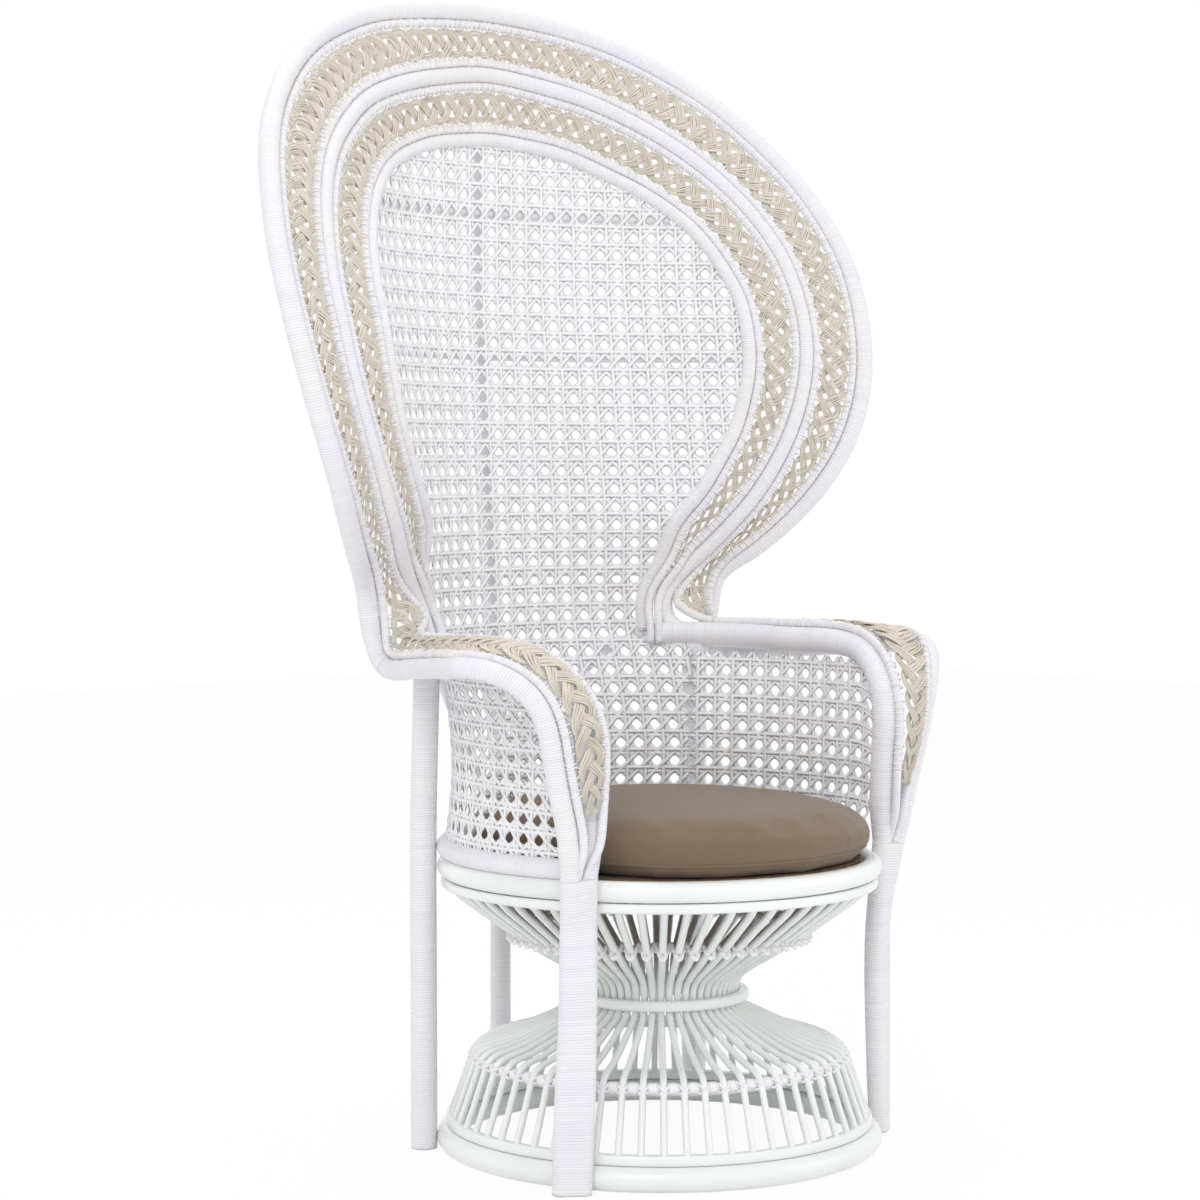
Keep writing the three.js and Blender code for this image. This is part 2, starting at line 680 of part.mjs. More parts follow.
add('fan_pole_outer', pole(outerFan, inOuter, outerPole, poleSides,
  { first: cornerUp, last: mirrored(cornerUp, -1).negate() }), wrapped);
add('fan_pole_middle', pole(middleFan, inMiddle, fanMiddlePole, poleSides, flatEnds), wrapped);
add('fan_pole_inner', pole(innerFan, outOfInner, fanInnerPole, poleSides, flatEnds), wrapped);

const strip1 = stripLine(outerFan, inOuter, outerPole);
const strip2 = stripLine(middleFan, outOfMiddle, fanMiddlePole);
const strip3 = stripLine(middleFan, inMiddle, fanMiddlePole);
const strip4 = stripLine(innerFan, outOfInner, fanInnerPole);

// The outer band and its two strips start just above the arms, the inner ones where the poles draw apart.
function addBand(number, name, stop, outer, inner, fromOuter, fromInner, along) {
  const within = (line) => line.slice(stop, line.length - stop);
  const outerPart = within(outer);
  const innerPart = within(inner);
  const outerWay = within(fromOuter);
  const innerWay = within(fromInner);
  add(`fan_strip_${number}`, pole(outerPart, outerWay, stripRadius, stripSides), wrapped);
  add(`fan_strip_${number + 1}`, pole(innerPart, innerWay, stripRadius, stripSides), wrapped);
  add(name, skin(bandRows(outerPart, innerPart, outerWay, innerWay, within(along))), braided);
}
addBand(1, 'fan_braid_outer', fanSubSteps, strip1, strip2, inOuter, outOfMiddle, outerAlong);
addBand(3, 'fan_braid_inner', 2 * fanSubSteps, strip3, strip4, inMiddle, outOfInner, middleAlong);

// Cane back: from the seat hoop up between the rear posts, then inside the inner fan pole to its top.
const panelTop = railLast.z - postPole - clearance;
const panelTopRadius = mix(railRadius, postRadius, railEndShare) - panelTuck;

// Radius of the cane at a share of its height, drawn in between the hoop and the rail.
function panelRadius(share, topRadius) {
  return mix(hoopMiddle, topRadius, share) - 4 * panelDip * share * (1 - share);
}
const seamGap = degreesOf(clearance, hoopMiddle);
const lowerRowShares = [[0, 1], [0.2, 0.978], [0.42, 0.975], [0.68, 1.015], [1, 1.09]];
const lowerRows = lowerRowShares.map(([share, centreShare]) => ({
  edge: polar(rearPostAngle - seamGap, panelRadius(share, panelTopRadius), mix(panelBottom, panelTop, share)),
  centre: hoopMiddle * centreShare,
  lift: 0,
}));

const caneInset = flatOf(fanInnerPole, poleSides) + bandClearance + caneThickness / 2;
const caneTopDepth = innerHalf[0].y;
const caneTopHeight = innerHalf[0].z - caneInset - clearance;
const caneStations = (innerHalf.length - 2) * fanSubSteps;
const underFoot = innerFan[0].clone().addScaledVector(outOfInner[0], -caneInset);
underFoot.z = panelTop;
const underFootShare = lowerRowShares[lowerRowShares.length - 1][1];
const caneCentre = hoopMiddle * underFootShare;
const caneLeanShare = 1.4;
const upperRows = [{ edge: underFoot, centre: caneCentre, lift: 0 }];
for (let i = 0; i <= caneStations; i += 1) {
  const edge = innerFan[i].clone().addScaledVector(outOfInner[i], -caneInset);
  const share = Math.min((caneLeanShare * (edge.z - armHeight)) / (caneTopHeight - armHeight), 1);
  upperRows.push({ edge, centre: mix(caneCentre, caneTopDepth, share), lift: 0 });
}
const caneTop = upperRows[upperRows.length - 1];
caneTop.lift = caneTopHeight - caneTop.edge.z;
const bend = degrees(rearPostAngle);
function canePoint({ edge, centre, lift }, share) {
  const turn = bend * share;
  const bow = (Math.cos(turn) - Math.cos(bend)) / (1 - Math.cos(bend));
  return new THREE.Vector3(
    (edge.x * Math.sin(turn)) / Math.sin(bend), mix(edge.y, centre, bow), edge.z + lift * bow);
}
const caneRows = [...lowerRows, ...upperRows];
const columnShares = Array.from({ length: caneColumns + 1 }, (_, j) => -1 + (2 * j) / caneColumns);
const caneGrid = caneRows.map((row) => columnShares.map((share) => canePoint(row, share)));
const caneOpenShare = 0.64;
add('cane_back', shell(caneGrid, caneThickness, caneOpenShare), caned);

// Depth of the cane's middle line at a height, for what stands behind it.
function caneRowAt(height) {
  const i = Math.max(1, caneRows.findIndex((row) => row.edge.z >= height));
  const below = caneRows[i - 1];
  const above = caneRows[i];
  const share = (height - below.edge.z) / (above.edge.z - below.edge.z);
  return {
    edge: below.edge.clone().lerp(above.edge, share),
    centre: mix(below.centre, above.centre, share),
    lift: 0,
  };
}

// Bars behind the cane, from edge to edge, with the spine behind them.
const barShares = [0.15, 0.37, 0.58, 0.86];
const barOff = caneThickness / 2 + barRadius + clearance * 2;
const barReachShare = 0.95;
const barHeights = barShares.map((share) => mix(armHeight, innerHalf[0].z, share));
barHeights.forEach((height, n) => {
  const row = caneRowAt(height);
  const line = columnShares.map((share) => canePoint(row, share * barReachShare));
  const along = tangents(line);
  const moved = line.map((point, i) => {
    const out = along[i].clone().cross(up).normalize();
    return point.clone().addScaledVector(out, -barOff);
  });
  add(`back_bar_${n + 1}`, pole(moved, moved.map(() => up), barRadius, poleSides), wrapped);
});

// Spine: the rear centre leg that runs up behind the bars.
const spineOff = barOff + barRadius + flatOf(spinePole, poleSides) + clearance;
const spineLine = [
  new THREE.Vector3(0, spineFoot, 0),
  new THREE.Vector3(0, spineFoot, seatHeight),
  ...barHeights.map((height) => new THREE.Vector3(0, caneRowAt(height).centre + spineOff, height)),
  new THREE.Vector3(0, caneTopDepth + spineOff, spineHeight),
];
const backward = new THREE.Vector3(0, 1, 0);
const spineGuides = spineLine.map(() => backward);
add('rear_leg_spine', pole(spineLine, spineGuides, spinePole, poleSides, { first: up }), wrapped);

// Pieces that both sides have.
const armRowShares = [[0, 0], [0.2, 0], [0.42, 0], [0.68, 0], [0.9, 0.35], [1, 1]];
const armColumns = 7;
const rearPostRadius = seatRadius + rearPole + clearance;
for (const [label, side] of [['left', 1], ['right', -1]]) {
  const turned = (line) => line.map((point) => mirrored(point, side));
  const railLine = [...innerLeg, ...smooth(innerControls, armSubSteps)];
  const edgeLine = [...outerLeg, ...smooth(outerControls, armSubSteps)];
  const railPart = railLine.slice(0, edgeLine.length);
  const edgeAlong = tangents(edgeLine);
  const inArm = square(toward(edgeLine, railPart), edgeAlong);
  const outOfRail = square(toward(railPart, edgeLine), tangents(railPart));
  const railGuides = railLine.map((_, i) => outOfRail[Math.min(i, outOfRail.length - 1)]);
  const railRadii = railLine.map((_, i) => mix(
    innerPole, postPole, THREE.MathUtils.clamp((i - innerLeg.length) / armSubSteps, 0, 1)));

  add(`arm_pole_inner_${label}`, pole(turned(railLine), turned(railGuides), railRadii, poleSides,
    { first: up }), wrapped);

  const bendStart = corner.clone().add(new THREE.Vector3(0, -cornerBend, 0));
  const bendCurve = new THREE.QuadraticBezierCurve3(bendStart, corner, spliceBelow);
  const bendLine = bendCurve.getPoints(4);
  const outerPath = [...edgeLine.slice(0, -1), ...bendLine];
  const outerGuides = outerPath.map((_, i) => inArm[Math.min(i, inArm.length - 2)]);
  add(`arm_pole_outer_${label}`, pole(turned(outerPath), turned(outerGuides), outerPole, poleSides,
    { first: up, last: mirrored(cornerUp, side) }), wrapped);

  // Strips and braid of the arm, from where the poles have drawn apart to the back corner.
  const wide = edgeLine.findIndex((point, i) => i > 0
    && point.distanceTo(railLine[i]) > outerPole + postPole + 4 * stripRadius + 4 * bandClearance);
  const armEnd = edgeLine.length - 1;
  const part = (line) => line.slice(wide, armEnd);
  const outerStrip = stripLine(edgeLine, inArm, outerPole);
  const innerStrip = stripLine(railPart, outOfRail, postPole);
  const strip = (line, guides) => pole(turned(part(line)), turned(part(guides)), stripRadius, stripSides);
  add(`arm_strip_outer_${label}`, strip(outerStrip, inArm), wrapped);
  add(`arm_strip_inner_${label}`, strip(innerStrip, outOfRail), wrapped);
  const armBand = bandRows(
    part(outerStrip), part(innerStrip), part(inArm), part(outOfRail), part(edgeAlong));
  add(`arm_braid_${label}`, skin(armBand.map((row) => turned(row))), braided);

  // Rear post: from the floor up beside the seat to the underside of the rail.
  const rearFoot = polar(rearPostAngle, rearPostRadius, 0);
  const rearTop = polar(
    rearPostAngle, panelTopRadius + caneThickness / 2 + rearPole + clearance, panelTop);
  const rearLine = [rearFoot, polar(rearPostAngle, rearPostRadius, rearPostKnee), rearTop];
  add(`rear_post_${label}`, pole(turned(rearLine), rearLine.map(() => backward), rearPole, poleSides,
    { first: up, last: up }), wrapped);

  // Cane of the arm: between the rear post and the front post, from the seat hoop to the rail. Its front edge
  // draws out to the post and leans back with it at the top.
  const frontEdge = postAngle - degreesOf(postPole + clearance, postRadius);
  const drawPower = 4;
  const grid = armRowShares.map(([share, leanShare]) => Array.from({ length: armColumns + 1 }, (_, j) => {
    const across = j / armColumns;
    const angle = mix(rearPostAngle + seamGap, frontEdge - leanShare * frontLean, across);
    const rail = railAt(railLine, angle);
    const height = mix(panelBottom, rail.z - postPole - clearance, share);
    const inner = panelRadius(share, Math.hypot(rail.x, rail.y) - panelTuck);
    const drawn = across ** drawPower * (1 - leanShare);
    return mirrored(polar(angle, mix(inner, postRadius - clearance, drawn), height), side);
  }));
  add(`cane_arm_${label}`, shell(grid, caneThickness), caned);

  // Brace behind the cane: from the fan's inner foot down to the spine above the seat hoop.
  const braceShares = [[1, 0], [0.72, 0.14], [0.44, 0.4], [0.2, 0.72], [0, 1]];
  const braceTop = polar(innerFootAngle, postRadius + braceRadius + braceClear, railEnd.z + braceRadius);
  const braceFoot = new THREE.Vector3(spinePole + braceRadius, spineFoot, hoopHeight + 2 * spinePole);
  const braceLine = smooth(braceShares.map(([acrossShare, dropShare]) => new THREE.Vector3(
    mix(braceFoot.x, braceTop.x, acrossShare), mix(braceFoot.y, braceTop.y, acrossShare ** 2),
    mix(braceTop.z, braceFoot.z, dropShare))), armSubSteps);
  add(`back_brace_${label}`, pole(turned(braceLine), braceLine.map(() => backward), braceRadius, poleSides),
    wrapped);
}

// The origin is under the middle of the whole chair, from the base's front to the spine's back.
const spineBack = caneTopDepth + spineOff + flatOf(spinePole, poleSides);
chair.position.y = (baseRadius - spineBack) / 2;

export default chair;
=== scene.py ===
# Peacock chair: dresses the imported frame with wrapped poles, plaited bands, woven cane, round slats and a
# cushion.
import math

import bpy
import numpy as np
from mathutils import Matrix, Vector
from mathutils.bvhtree import BVHTree


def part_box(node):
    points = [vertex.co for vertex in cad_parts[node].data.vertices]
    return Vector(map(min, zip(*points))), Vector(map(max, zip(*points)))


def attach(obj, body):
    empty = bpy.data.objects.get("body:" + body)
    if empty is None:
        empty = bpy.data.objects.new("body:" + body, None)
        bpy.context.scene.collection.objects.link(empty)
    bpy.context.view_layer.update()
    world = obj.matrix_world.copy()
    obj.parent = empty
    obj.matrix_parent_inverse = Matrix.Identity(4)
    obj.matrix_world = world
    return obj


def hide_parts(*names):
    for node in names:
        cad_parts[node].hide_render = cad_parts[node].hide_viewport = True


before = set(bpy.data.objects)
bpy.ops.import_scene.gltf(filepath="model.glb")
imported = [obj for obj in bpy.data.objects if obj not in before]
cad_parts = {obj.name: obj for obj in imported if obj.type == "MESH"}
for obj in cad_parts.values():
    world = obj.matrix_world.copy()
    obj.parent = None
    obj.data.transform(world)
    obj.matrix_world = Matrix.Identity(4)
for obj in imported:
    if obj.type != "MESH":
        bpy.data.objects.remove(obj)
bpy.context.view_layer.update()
ringLow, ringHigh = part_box("base_ring")
shift = np.array([0.0, (ringLow.y + ringHigh.y) / 2, 0.0])  # plan points below are about the base's axis
scene = bpy.context.scene
print("frame loaded, base axis at y =", round(shift[1], 4))


# Camera.
camera = {"turn": -42.23, "pitch": 2.574, "lens": 92.81, "sensor": 36, "distance": 3.8697, "aside": -0.0744,
          "height": 0.8601, "farthest": 50}


def placeCamera(c):
    turn = math.radians(c["turn"])
    back = np.array([math.sin(turn), -math.cos(turn), 0.0])
    right = np.array([math.cos(turn), math.sin(turn), 0.0])
    data = bpy.data.cameras.new("camera")
    data.lens = c["lens"]
    data.sensor_width = c["sensor"]
    data.clip_end = c["farthest"]
    seen = bpy.data.objects.new("camera", data)
    seen.location = back * c["distance"] + right * c["aside"] + np.array([0, 0, c["height"]]) + shift
    seen.rotation_euler = (math.radians(90 - c["pitch"]), 0, turn)
    scene.collection.objects.link(seen)
    scene.camera = seen


placeCamera(camera)


# Shader expressions.
def arithmetic(operation, swapped=False):
    def apply(self, other):
        return self.maker.maths(operation, *((other, self) if swapped else (self, other)))
    return apply


class Wire:
    # One value in a node tree. Arithmetic on it adds the Math nodes.
    def __init__(self, maker, socket):
        self.maker = maker
        self.socket = socket

    __add__ = __radd__ = arithmetic("ADD")
    __mul__ = __rmul__ = arithmetic("MULTIPLY")
    __sub__ = arithmetic("SUBTRACT")
    __rsub__ = arithmetic("SUBTRACT", swapped=True)
    __truediv__ = arithmetic("DIVIDE")


class Tree:
    # A node tree and the methods that add nodes to it.
    def __init__(self, tree):
        self.nodes = tree.nodes
        self.links = tree.links

    def put(self, socket, value):
        if isinstance(value, Wire):
            self.links.new(value.socket, socket)
        elif isinstance(value, (tuple, list)) and len(value) == 3 and socket.type == "RGBA":
            socket.default_value = (*value, 1.0)
        else:
            socket.default_value = value

    def outputs(self, kind, settings=None, sockets=None):
        added = self.nodes.new(kind)
        for name, value in (settings or {}).items():
            setattr(added, name, value)
        for name, value in (sockets or {}).items():
            self.put(added.inputs[name], value)
        return [Wire(self, out) for out in added.outputs]

    def node(self, kind, settings=None, sockets=None, out=0):
        return self.outputs(kind, settings, sockets)[out]

    def maths(self, operation, *values):
        return self.node("ShaderNodeMath", {"operation": operation}, dict(enumerate(values)))

    def seen(self):
        # 1 where the camera sees the surface itself, in a reflection or through glass.
        rays = self.nodes.new("ShaderNodeLightPath").outputs
        kinds = ("Camera", "Glossy", "Transmission")
        direct, mirrored, refracted = (Wire(self, rays[f"Is {kind} Ray"]) for kind in kinds)
        return self.maths("MAXIMUM", self.maths("MAXIMUM", direct, mirrored), refracted)

    def blend(self, share, a, b, output):
        # Ends the tree with shader a where share is 0 and b where it is 1.
        mixed = self.node("ShaderNodeMixShader", None, {0: share, 1: a, 2: b})
        self.put(self.nodes[output].inputs["Surface"], mixed)


class Finish(Tree):
    # A material for one kind of surface.
    def __init__(self, name, **constants):
        self.material = bpy.data.materials.new(name)
        self.material.use_nodes = True
        super().__init__(self.material.node_tree)
        self.shader = self.nodes["Principled BSDF"]
        for socket, value in constants.items():
            self.put(self.shader.inputs[socket.replace("_", " ")], value)

    def ramp(self, value, low, high):
        # 0 below low, 1 above high, smooth between.
        return self.node("ShaderNodeMapRange", {"interpolation_type": "SMOOTHSTEP"},
                         {"Value": value, "From Min": low, "From Max": high})

    def mix(self, share, a, b):
        # Colour a where share is 0, b where it is 1.
        return self.node("ShaderNodeMix", {"data_type": "RGBA"}, {0: share, 6: a, 7: b}, 2)

    def toward(self, tone, colour, value, low, high, most):
        # The tone drawn to a colour, by up to most of the way, as the value goes from low to high.
        return self.mix(self.ramp(value, low, high) * most, tone, colour)

    def split(self, vector):
        return self.outputs("ShaderNodeSeparateXYZ", None, {0: vector})

    def uv(self):
        return self.split(self.node("ShaderNodeUVMap", {"uv_map": "weave"}))[:2]

    def places(self):
        return self.node("ShaderNodeTexCoord", out=3)

    def noise(self, vector, scale, detail=2.0, rough=0.5):
        return self.node("ShaderNodeTexNoise", None,
                         {"Vector": vector, "Scale": scale, "Detail": detail, "Roughness": rough})

    def join(self, x, y, z=0.0):
        return self.node("ShaderNodeCombineXYZ", None, {0: x, 1: y, 2: z})

    def random(self, x, y=0.0):
        return self.node("ShaderNodeTexWhiteNoise", {"noise_dimensions": "3D"}, {"Vector": self.join(x, y)})

    def bump(self, height, distance, strength=1.0):
        self.put(self.shader.inputs["Normal"], self.node(
            "ShaderNodeBump", None, {"Height": height, "Distance": distance, "Strength": strength}))

    def colour(self, value):
        self.put(self.shader.inputs["Base Color"], value)

    def rough(self, value):
        self.put(self.shader.inputs["Roughness"], value)


def srgb(*levels):
    # Linear colour of 0-255 screen levels.
    shares = np.array(levels) / 255
    linear = np.where(shares <= 0.04045, shares / 12.92, ((shares + 0.055) / 1.055) ** 2.4)
    return tuple(linear.tolist())


# Wound cord: grooves between turns that climb round the pole, with painted shade in the grooves, each turn a
# little different.
wrapping = {"pitch": 0.0034, "relief": 0.0005, "body": srgb(237, 236, 242), "grooveShade": srgb(203, 201, 212),
            "worn": srgb(240, 238, 235)}


def wrapFinish(w):
    f = Finish("wrapped_cord", Roughness=0.5, Specular_IOR_Level=0.35)
    u, v = f.uv()
    turns = u / w["pitch"] + v
    ridge = f.maths("SINE", f.maths("FRACT", turns) * math.pi)
    grooveShade = 1.0 - f.ramp(ridge, 0.05, 0.62)
    each = f.random(f.maths("FLOOR", turns))
    long = f.noise(f.places(), 9.0, 3.0)
    tone = f.toward(w["body"], w["worn"], long, 0.35, 0.75, 0.8)
    tone = f.mix(each * 0.12, tone, w["grooveShade"])
    # Painted shade: the grooves between the turns are drawn darker.
    f.colour(f.mix(grooveShade * 0.5, tone, w["grooveShade"]))
    f.rough(0.42 + 0.12 * long)
    f.bump(ridge * (0.8 + 0.4 * each), w["relief"], 0.7)
    return f.material


# Flat dried leaf strips, tan, streaked along their length, with painted shade along lengthwise creases of
# each strip.
fibre = {"relief": 0.0005, "body": srgb(220, 212, 199), "dark": srgb(180, 169, 149),
         "light": srgb(237, 231, 220)}


def fibreFinish(w):
    f = Finish("plaited_fibre", Roughness=0.62, Specular_IOR_Level=0.3)
    u, v = f.uv()
    leaf = f.maths("FLOOR", v)
    each = f.random(leaf, f.maths("FLOOR", u * 4.0))
    across = f.maths("FRACT", v)
    creaseShade = f.maths("SINE", across * (4 * math.pi))
    streak = f.noise(f.join(u * 14.0, across * 34.0, leaf), 1.0, 3.0)
    patch = f.noise(f.places(), 24.0)
    tone = f.toward(w["body"], w["light"], each, 0.1, 0.9, 0.6)
    tone = f.toward(tone, w["dark"], streak, 0.5, 0.75, 0.55)
    tone = f.toward(tone, w["dark"], patch, 0.55, 0.8, 0.35)
    # Painted shade: each leaf strip is drawn darker along its creases.
    f.colour(f.toward(tone, w["dark"], creaseShade, -0.6, -1.0, 0.5))
    f.rough(0.55 + 0.15 * streak)
    f.bump(streak, w["relief"], 0.7)
    return f.material


# Thin pale fibre of the bindings.
binder = {"body": srgb(243, 241, 239), "dark": srgb(226, 221, 211)}


def bindFinish(w):
    f = Finish("binding_fibre", Roughness=0.6, Specular_IOR_Level=0.3)
    u, v = f.uv()
    f.colour(f.toward(w["body"], w["dark"], f.random(f.maths("FLOOR", v)), 0.45, 0.9, 0.8))
    return f.material


# White painted cane strands with a fine lengthwise grain, and painted shade towards each strand's edges.
caning = {"relief": 0.0003, "body": srgb(243, 243, 246), "shade": srgb(213, 213, 218),
          "warm": srgb(239, 237, 231)}


def caneFinish(w):
    f = Finish("painted_cane", Roughness=0.5, Specular_IOR_Level=0.35)
    u, v = f.uv()
    grain = f.noise(f.join(u * 40.0, v * 9.0), 1.0)
    patch = f.noise(f.places(), 14.0, 3.0)
    edge = f.maths("SINE", f.maths("FRACT", v) * math.pi)
    tone = f.toward(w["body"], w["warm"], patch, 0.4, 0.7, 0.5)
    tone = f.toward(tone, w["shade"], grain, 0.45, 0.8, 0.4)
    # Painted shade: each strand is drawn darker towards its edges.
    f.colour(f.mix((1.0 - f.ramp(edge, 0.0, 0.5)) * 0.22, tone, w["shade"]))
    f.rough(0.45 + 0.12 * patch)
    f.bump(grain, w["relief"], 0.6)
    return f.material


# Glossy white paint on rattan: faint greenish white, slight waves.
paint = {"relief": 0.0003, "body": srgb(239, 242, 240), "shade": srgb(223, 226, 224)}


def paintFinish(w):
    f = Finish("glossy_paint", Roughness=0.2, Specular_IOR_Level=0.5)
    patch = f.noise(f.places(), 7.0, 3.0)
    f.colour(f.toward(w["body"], w["shade"], patch, 0.45, 0.75, 0.5))
    f.rough(0.16 + 0.12 * patch)
    f.bump(f.noise(f.places(), 160.0), w["relief"], 0.5)
    return f.material


# Raw brown board under the cushion, seen through the slats.
board = {"relief": 0.0004, "body": srgb(122, 104, 84), "grain": srgb(88, 73, 57)}


def boardFinish(w):
    f = Finish("raw_board", Roughness=0.8, Specular_IOR_Level=0.2)
    x, y, z = f.split(f.places())
    grain = f.noise(f.join(x * 90.0, y * 6.0, z * 40.0), 1.0, 3.0)
    f.colour(f.toward(w["body"], w["grain"], grain, 0.35, 0.7, 0.8))
    f.bump(grain, w["relief"], 0.5)
    return f.material


# White cord of the lashings, with painted shade in the grooves of its twist.
cording = {"twist": 0.0025, "relief": 0.0003, "body": srgb(250, 250, 252), "shade": srgb(224, 224, 230)}


def cordFinish(w):
    f = Finish("white_cord", Roughness=0.6, Specular_IOR_Level=0.3)
    u, v = f.uv()
    twist = f.maths("SINE", (u / w["twist"] + v) * (2 * math.pi))
    # Painted shade: the cord is drawn darker where its twist dips.
    f.colour(f.toward(w["body"], w["shade"], twist, -0.2, -0.9, 0.7))
    f.bump(twist, w["relief"], 0.5)
    return f.material


# Plain woven taupe cloth: two sets of threads, slubs and soft mottling. On top the threads follow x and y, on
# the side they go round and up.
cloth = {"thread": 0.00115, "round": 0.25, "relief": 0.0006, "body": srgb(123, 104, 84),
         "dark": srgb(99, 83, 65), "light": srgb(141, 123, 102)}


def clothFinish(w):
    f = Finish("taupe_cloth", Roughness=0.85, Specular_IOR_Level=0.2, Sheen_Weight=0.25, Sheen_Roughness=0.5)
    places = f.places()
    x, y, z = f.split(places)
    aroundIt = f.maths("ARCTAN2", y - float(shift[1]), x) * w["round"]
    upward = f.split(f.node("ShaderNodeNewGeometry", out=1))[2]
    onTop = f.ramp(f.maths("ABSOLUTE", upward), 0.55, 0.75)
    stepA = f.maths("SINE", (x * onTop + aroundIt * (1.0 - onTop)) * (math.pi / w["thread"]))
    stepB = f.maths("SINE", (y * onTop + z * (1.0 - onTop)) * (math.pi / w["thread"]))
    weave = stepA * stepB
    slub = f.noise(places, 420.0, 2.0, 0.7)
    tone = f.mix(f.ramp(weave, -0.8, 0.8), w["dark"], w["light"])
    tone = f.mix(0.62, tone, w["body"])
    tone = f.toward(tone, w["light"], slub, 0.5, 0.8, 0.35)
    f.colour(f.toward(tone, w["dark"], f.noise(places, 6.0, 3.0), 0.4, 0.8, 0.25))
    f.bump(weave * 0.6 + slub * 0.7, w["relief"], 0.6)
    return f.material


wrapMat = wrapFinish(wrapping)
fibreMat = fibreFinish(fibre)
bindMat = bindFinish(binder)
caneMat = caneFinish(caning)
paintMat = paintFinish(paint)
cordMat = cordFinish(cording)
boardMat = boardFinish(board)
clothMat = clothFinish(cloth)
print("finishes made")


# Lines and surfaces.
def unit(rows):
    return rows / np.maximum(np.linalg.norm(rows, axis=-1, keepdims=True), 1e-12)


def lerp(a, b, share):
    return a + (b - a) * share


def between(at, marks, rows):
    # Points read off between rows that belong to rising marks.
    return np.stack([np.interp(at, marks, rows[:, k]) for k in range(3)], axis=1)


def reach(line):
    # Distance along the line at each of its points.
    return np.concatenate([[0.0], np.cumsum(np.linalg.norm(np.diff(line, axis=0), axis=1))])


def evenly(line, step):
    far = reach(line)
    count = max(2, int(round(far[-1] / step)) + 1)
    return between(np.linspace(0, far[-1], count), far, line)


def through(points, step=0.004, passes=6):
    # Smooth line through points: a cubic between each two, whose slope at a point is that of the parabola
    # through it and its neighbours, then evenly spaced and softened by averaging neighbours.
    p = np.array(points, float)
    h = np.linalg.norm(np.diff(p, axis=0), axis=1)
    s = np.concatenate([[0.0], np.cumsum(h)])
    slope = np.diff(p, axis=0) / h[:, None]
    m = np.empty_like(p)
    m[1:-1] = (slope[1:] * h[:-1, None] + slope[:-1] * h[1:, None]) / (h[1:] + h[:-1])[:, None]
    m[0] = slope[0]
    m[-1] = slope[-1]
    t = np.linspace(0, s[-1], int(s[-1] / step * 3) + 2)
    i = np.clip(np.searchsorted(s, t, side="right") - 1, 0, len(h) - 1)
    u = ((t - s[i]) / h[i])[:, None]
    w = h[i][:, None]
    line = ((2 * u ** 3 - 3 * u ** 2 + 1) * p[i] + (u ** 3 - 2 * u ** 2 + u) * w * m[i]
            + (3 * u ** 2 - 2 * u ** 3) * p[i + 1] + (u ** 3 - u ** 2) * w * m[i + 1])
    return soften(evenly(line, step), passes)


def soften(rows, passes):
    # Each inner row becomes half itself and a quarter of each neighbour, some times over.
    rows = rows.copy()
    for _ in range(passes):
        rows[1:-1] = rows[1:-1] / 2 + (rows[:-2] + rows[2:]) / 4
    return rows


def along(line):
    return unit(np.gradient(line, axis=0))


def carried(line):
    # A direction square to the line, carried along it without twist. It starts upwards, or sideways on a line
    # that starts upright.
    way = along(line)
    side = np.empty_like(line)
    first = np.array([1.0, 0.0, 0.0]) if abs(way[0, 2]) > 0.9 else np.array([0.0, 0.0, 1.0])
    for i in range(len(line)):
        first = first - (first @ way[i]) * way[i]
        first = first / np.linalg.norm(first)
        side[i] = first
    return side


def squared(directions, way):
    return unit(directions - np.sum(directions * way, axis=1, keepdims=True) * way)


def turns(steps):
    # Evenly spread angles round a circle.
    return np.arange(steps) * 2 * math.pi / steps


def around(turn, radius, height):
    # Points about the upright axis, by an angle from the back of the chair.
    return np.stack(np.broadcast_arrays(radius * np.sin(turn), radius * np.cos(turn), height), axis=-1)


def polar(angle, radius, height):
    return around(np.radians(angle), radius, height)


def disc(radius, sides):
    turn = turns(sides)
    return np.stack([np.cos(turn), np.sin(turn)], axis=1) * radius


def discs(radius, sides, count):
    # A round section for each point of a line. The radius may be one value or one for each point.
    return disc(1.0, sides)[None] * np.broadcast_to(np.asarray(radius, float), (count,))[:, None, None]


def softBox(width, height, corner, steps=4):
    # Section of a rounded bar, centred.
    quarter = np.linspace(0, math.pi / 2, steps)
    parts = []
    for n, (sx, sy) in enumerate([(1, 1), (-1, 1), (-1, -1), (1, -1)]):
        t = quarter + n * math.pi / 2
        parts.append(np.stack([sx * (width / 2 - corner) + corner * np.cos(t),
                               sy * (height / 2 - corner) + corner * np.sin(t)], axis=1))
    return np.concatenate(parts)


def spread(line, side, other, profile):
    # Points of a section (n, m, 2) or (m, 2) set along a line: first value along side, second along other.
    p = np.broadcast_to(profile, (len(line),) + profile.shape[-2:])
    return line[:, None] + p[:, :, :1] * side[:, None] + p[:, :, 1:] * other[:, None]


def rings(line, side, profile):
    return spread(line, side, np.cross(along(line), side), profile)


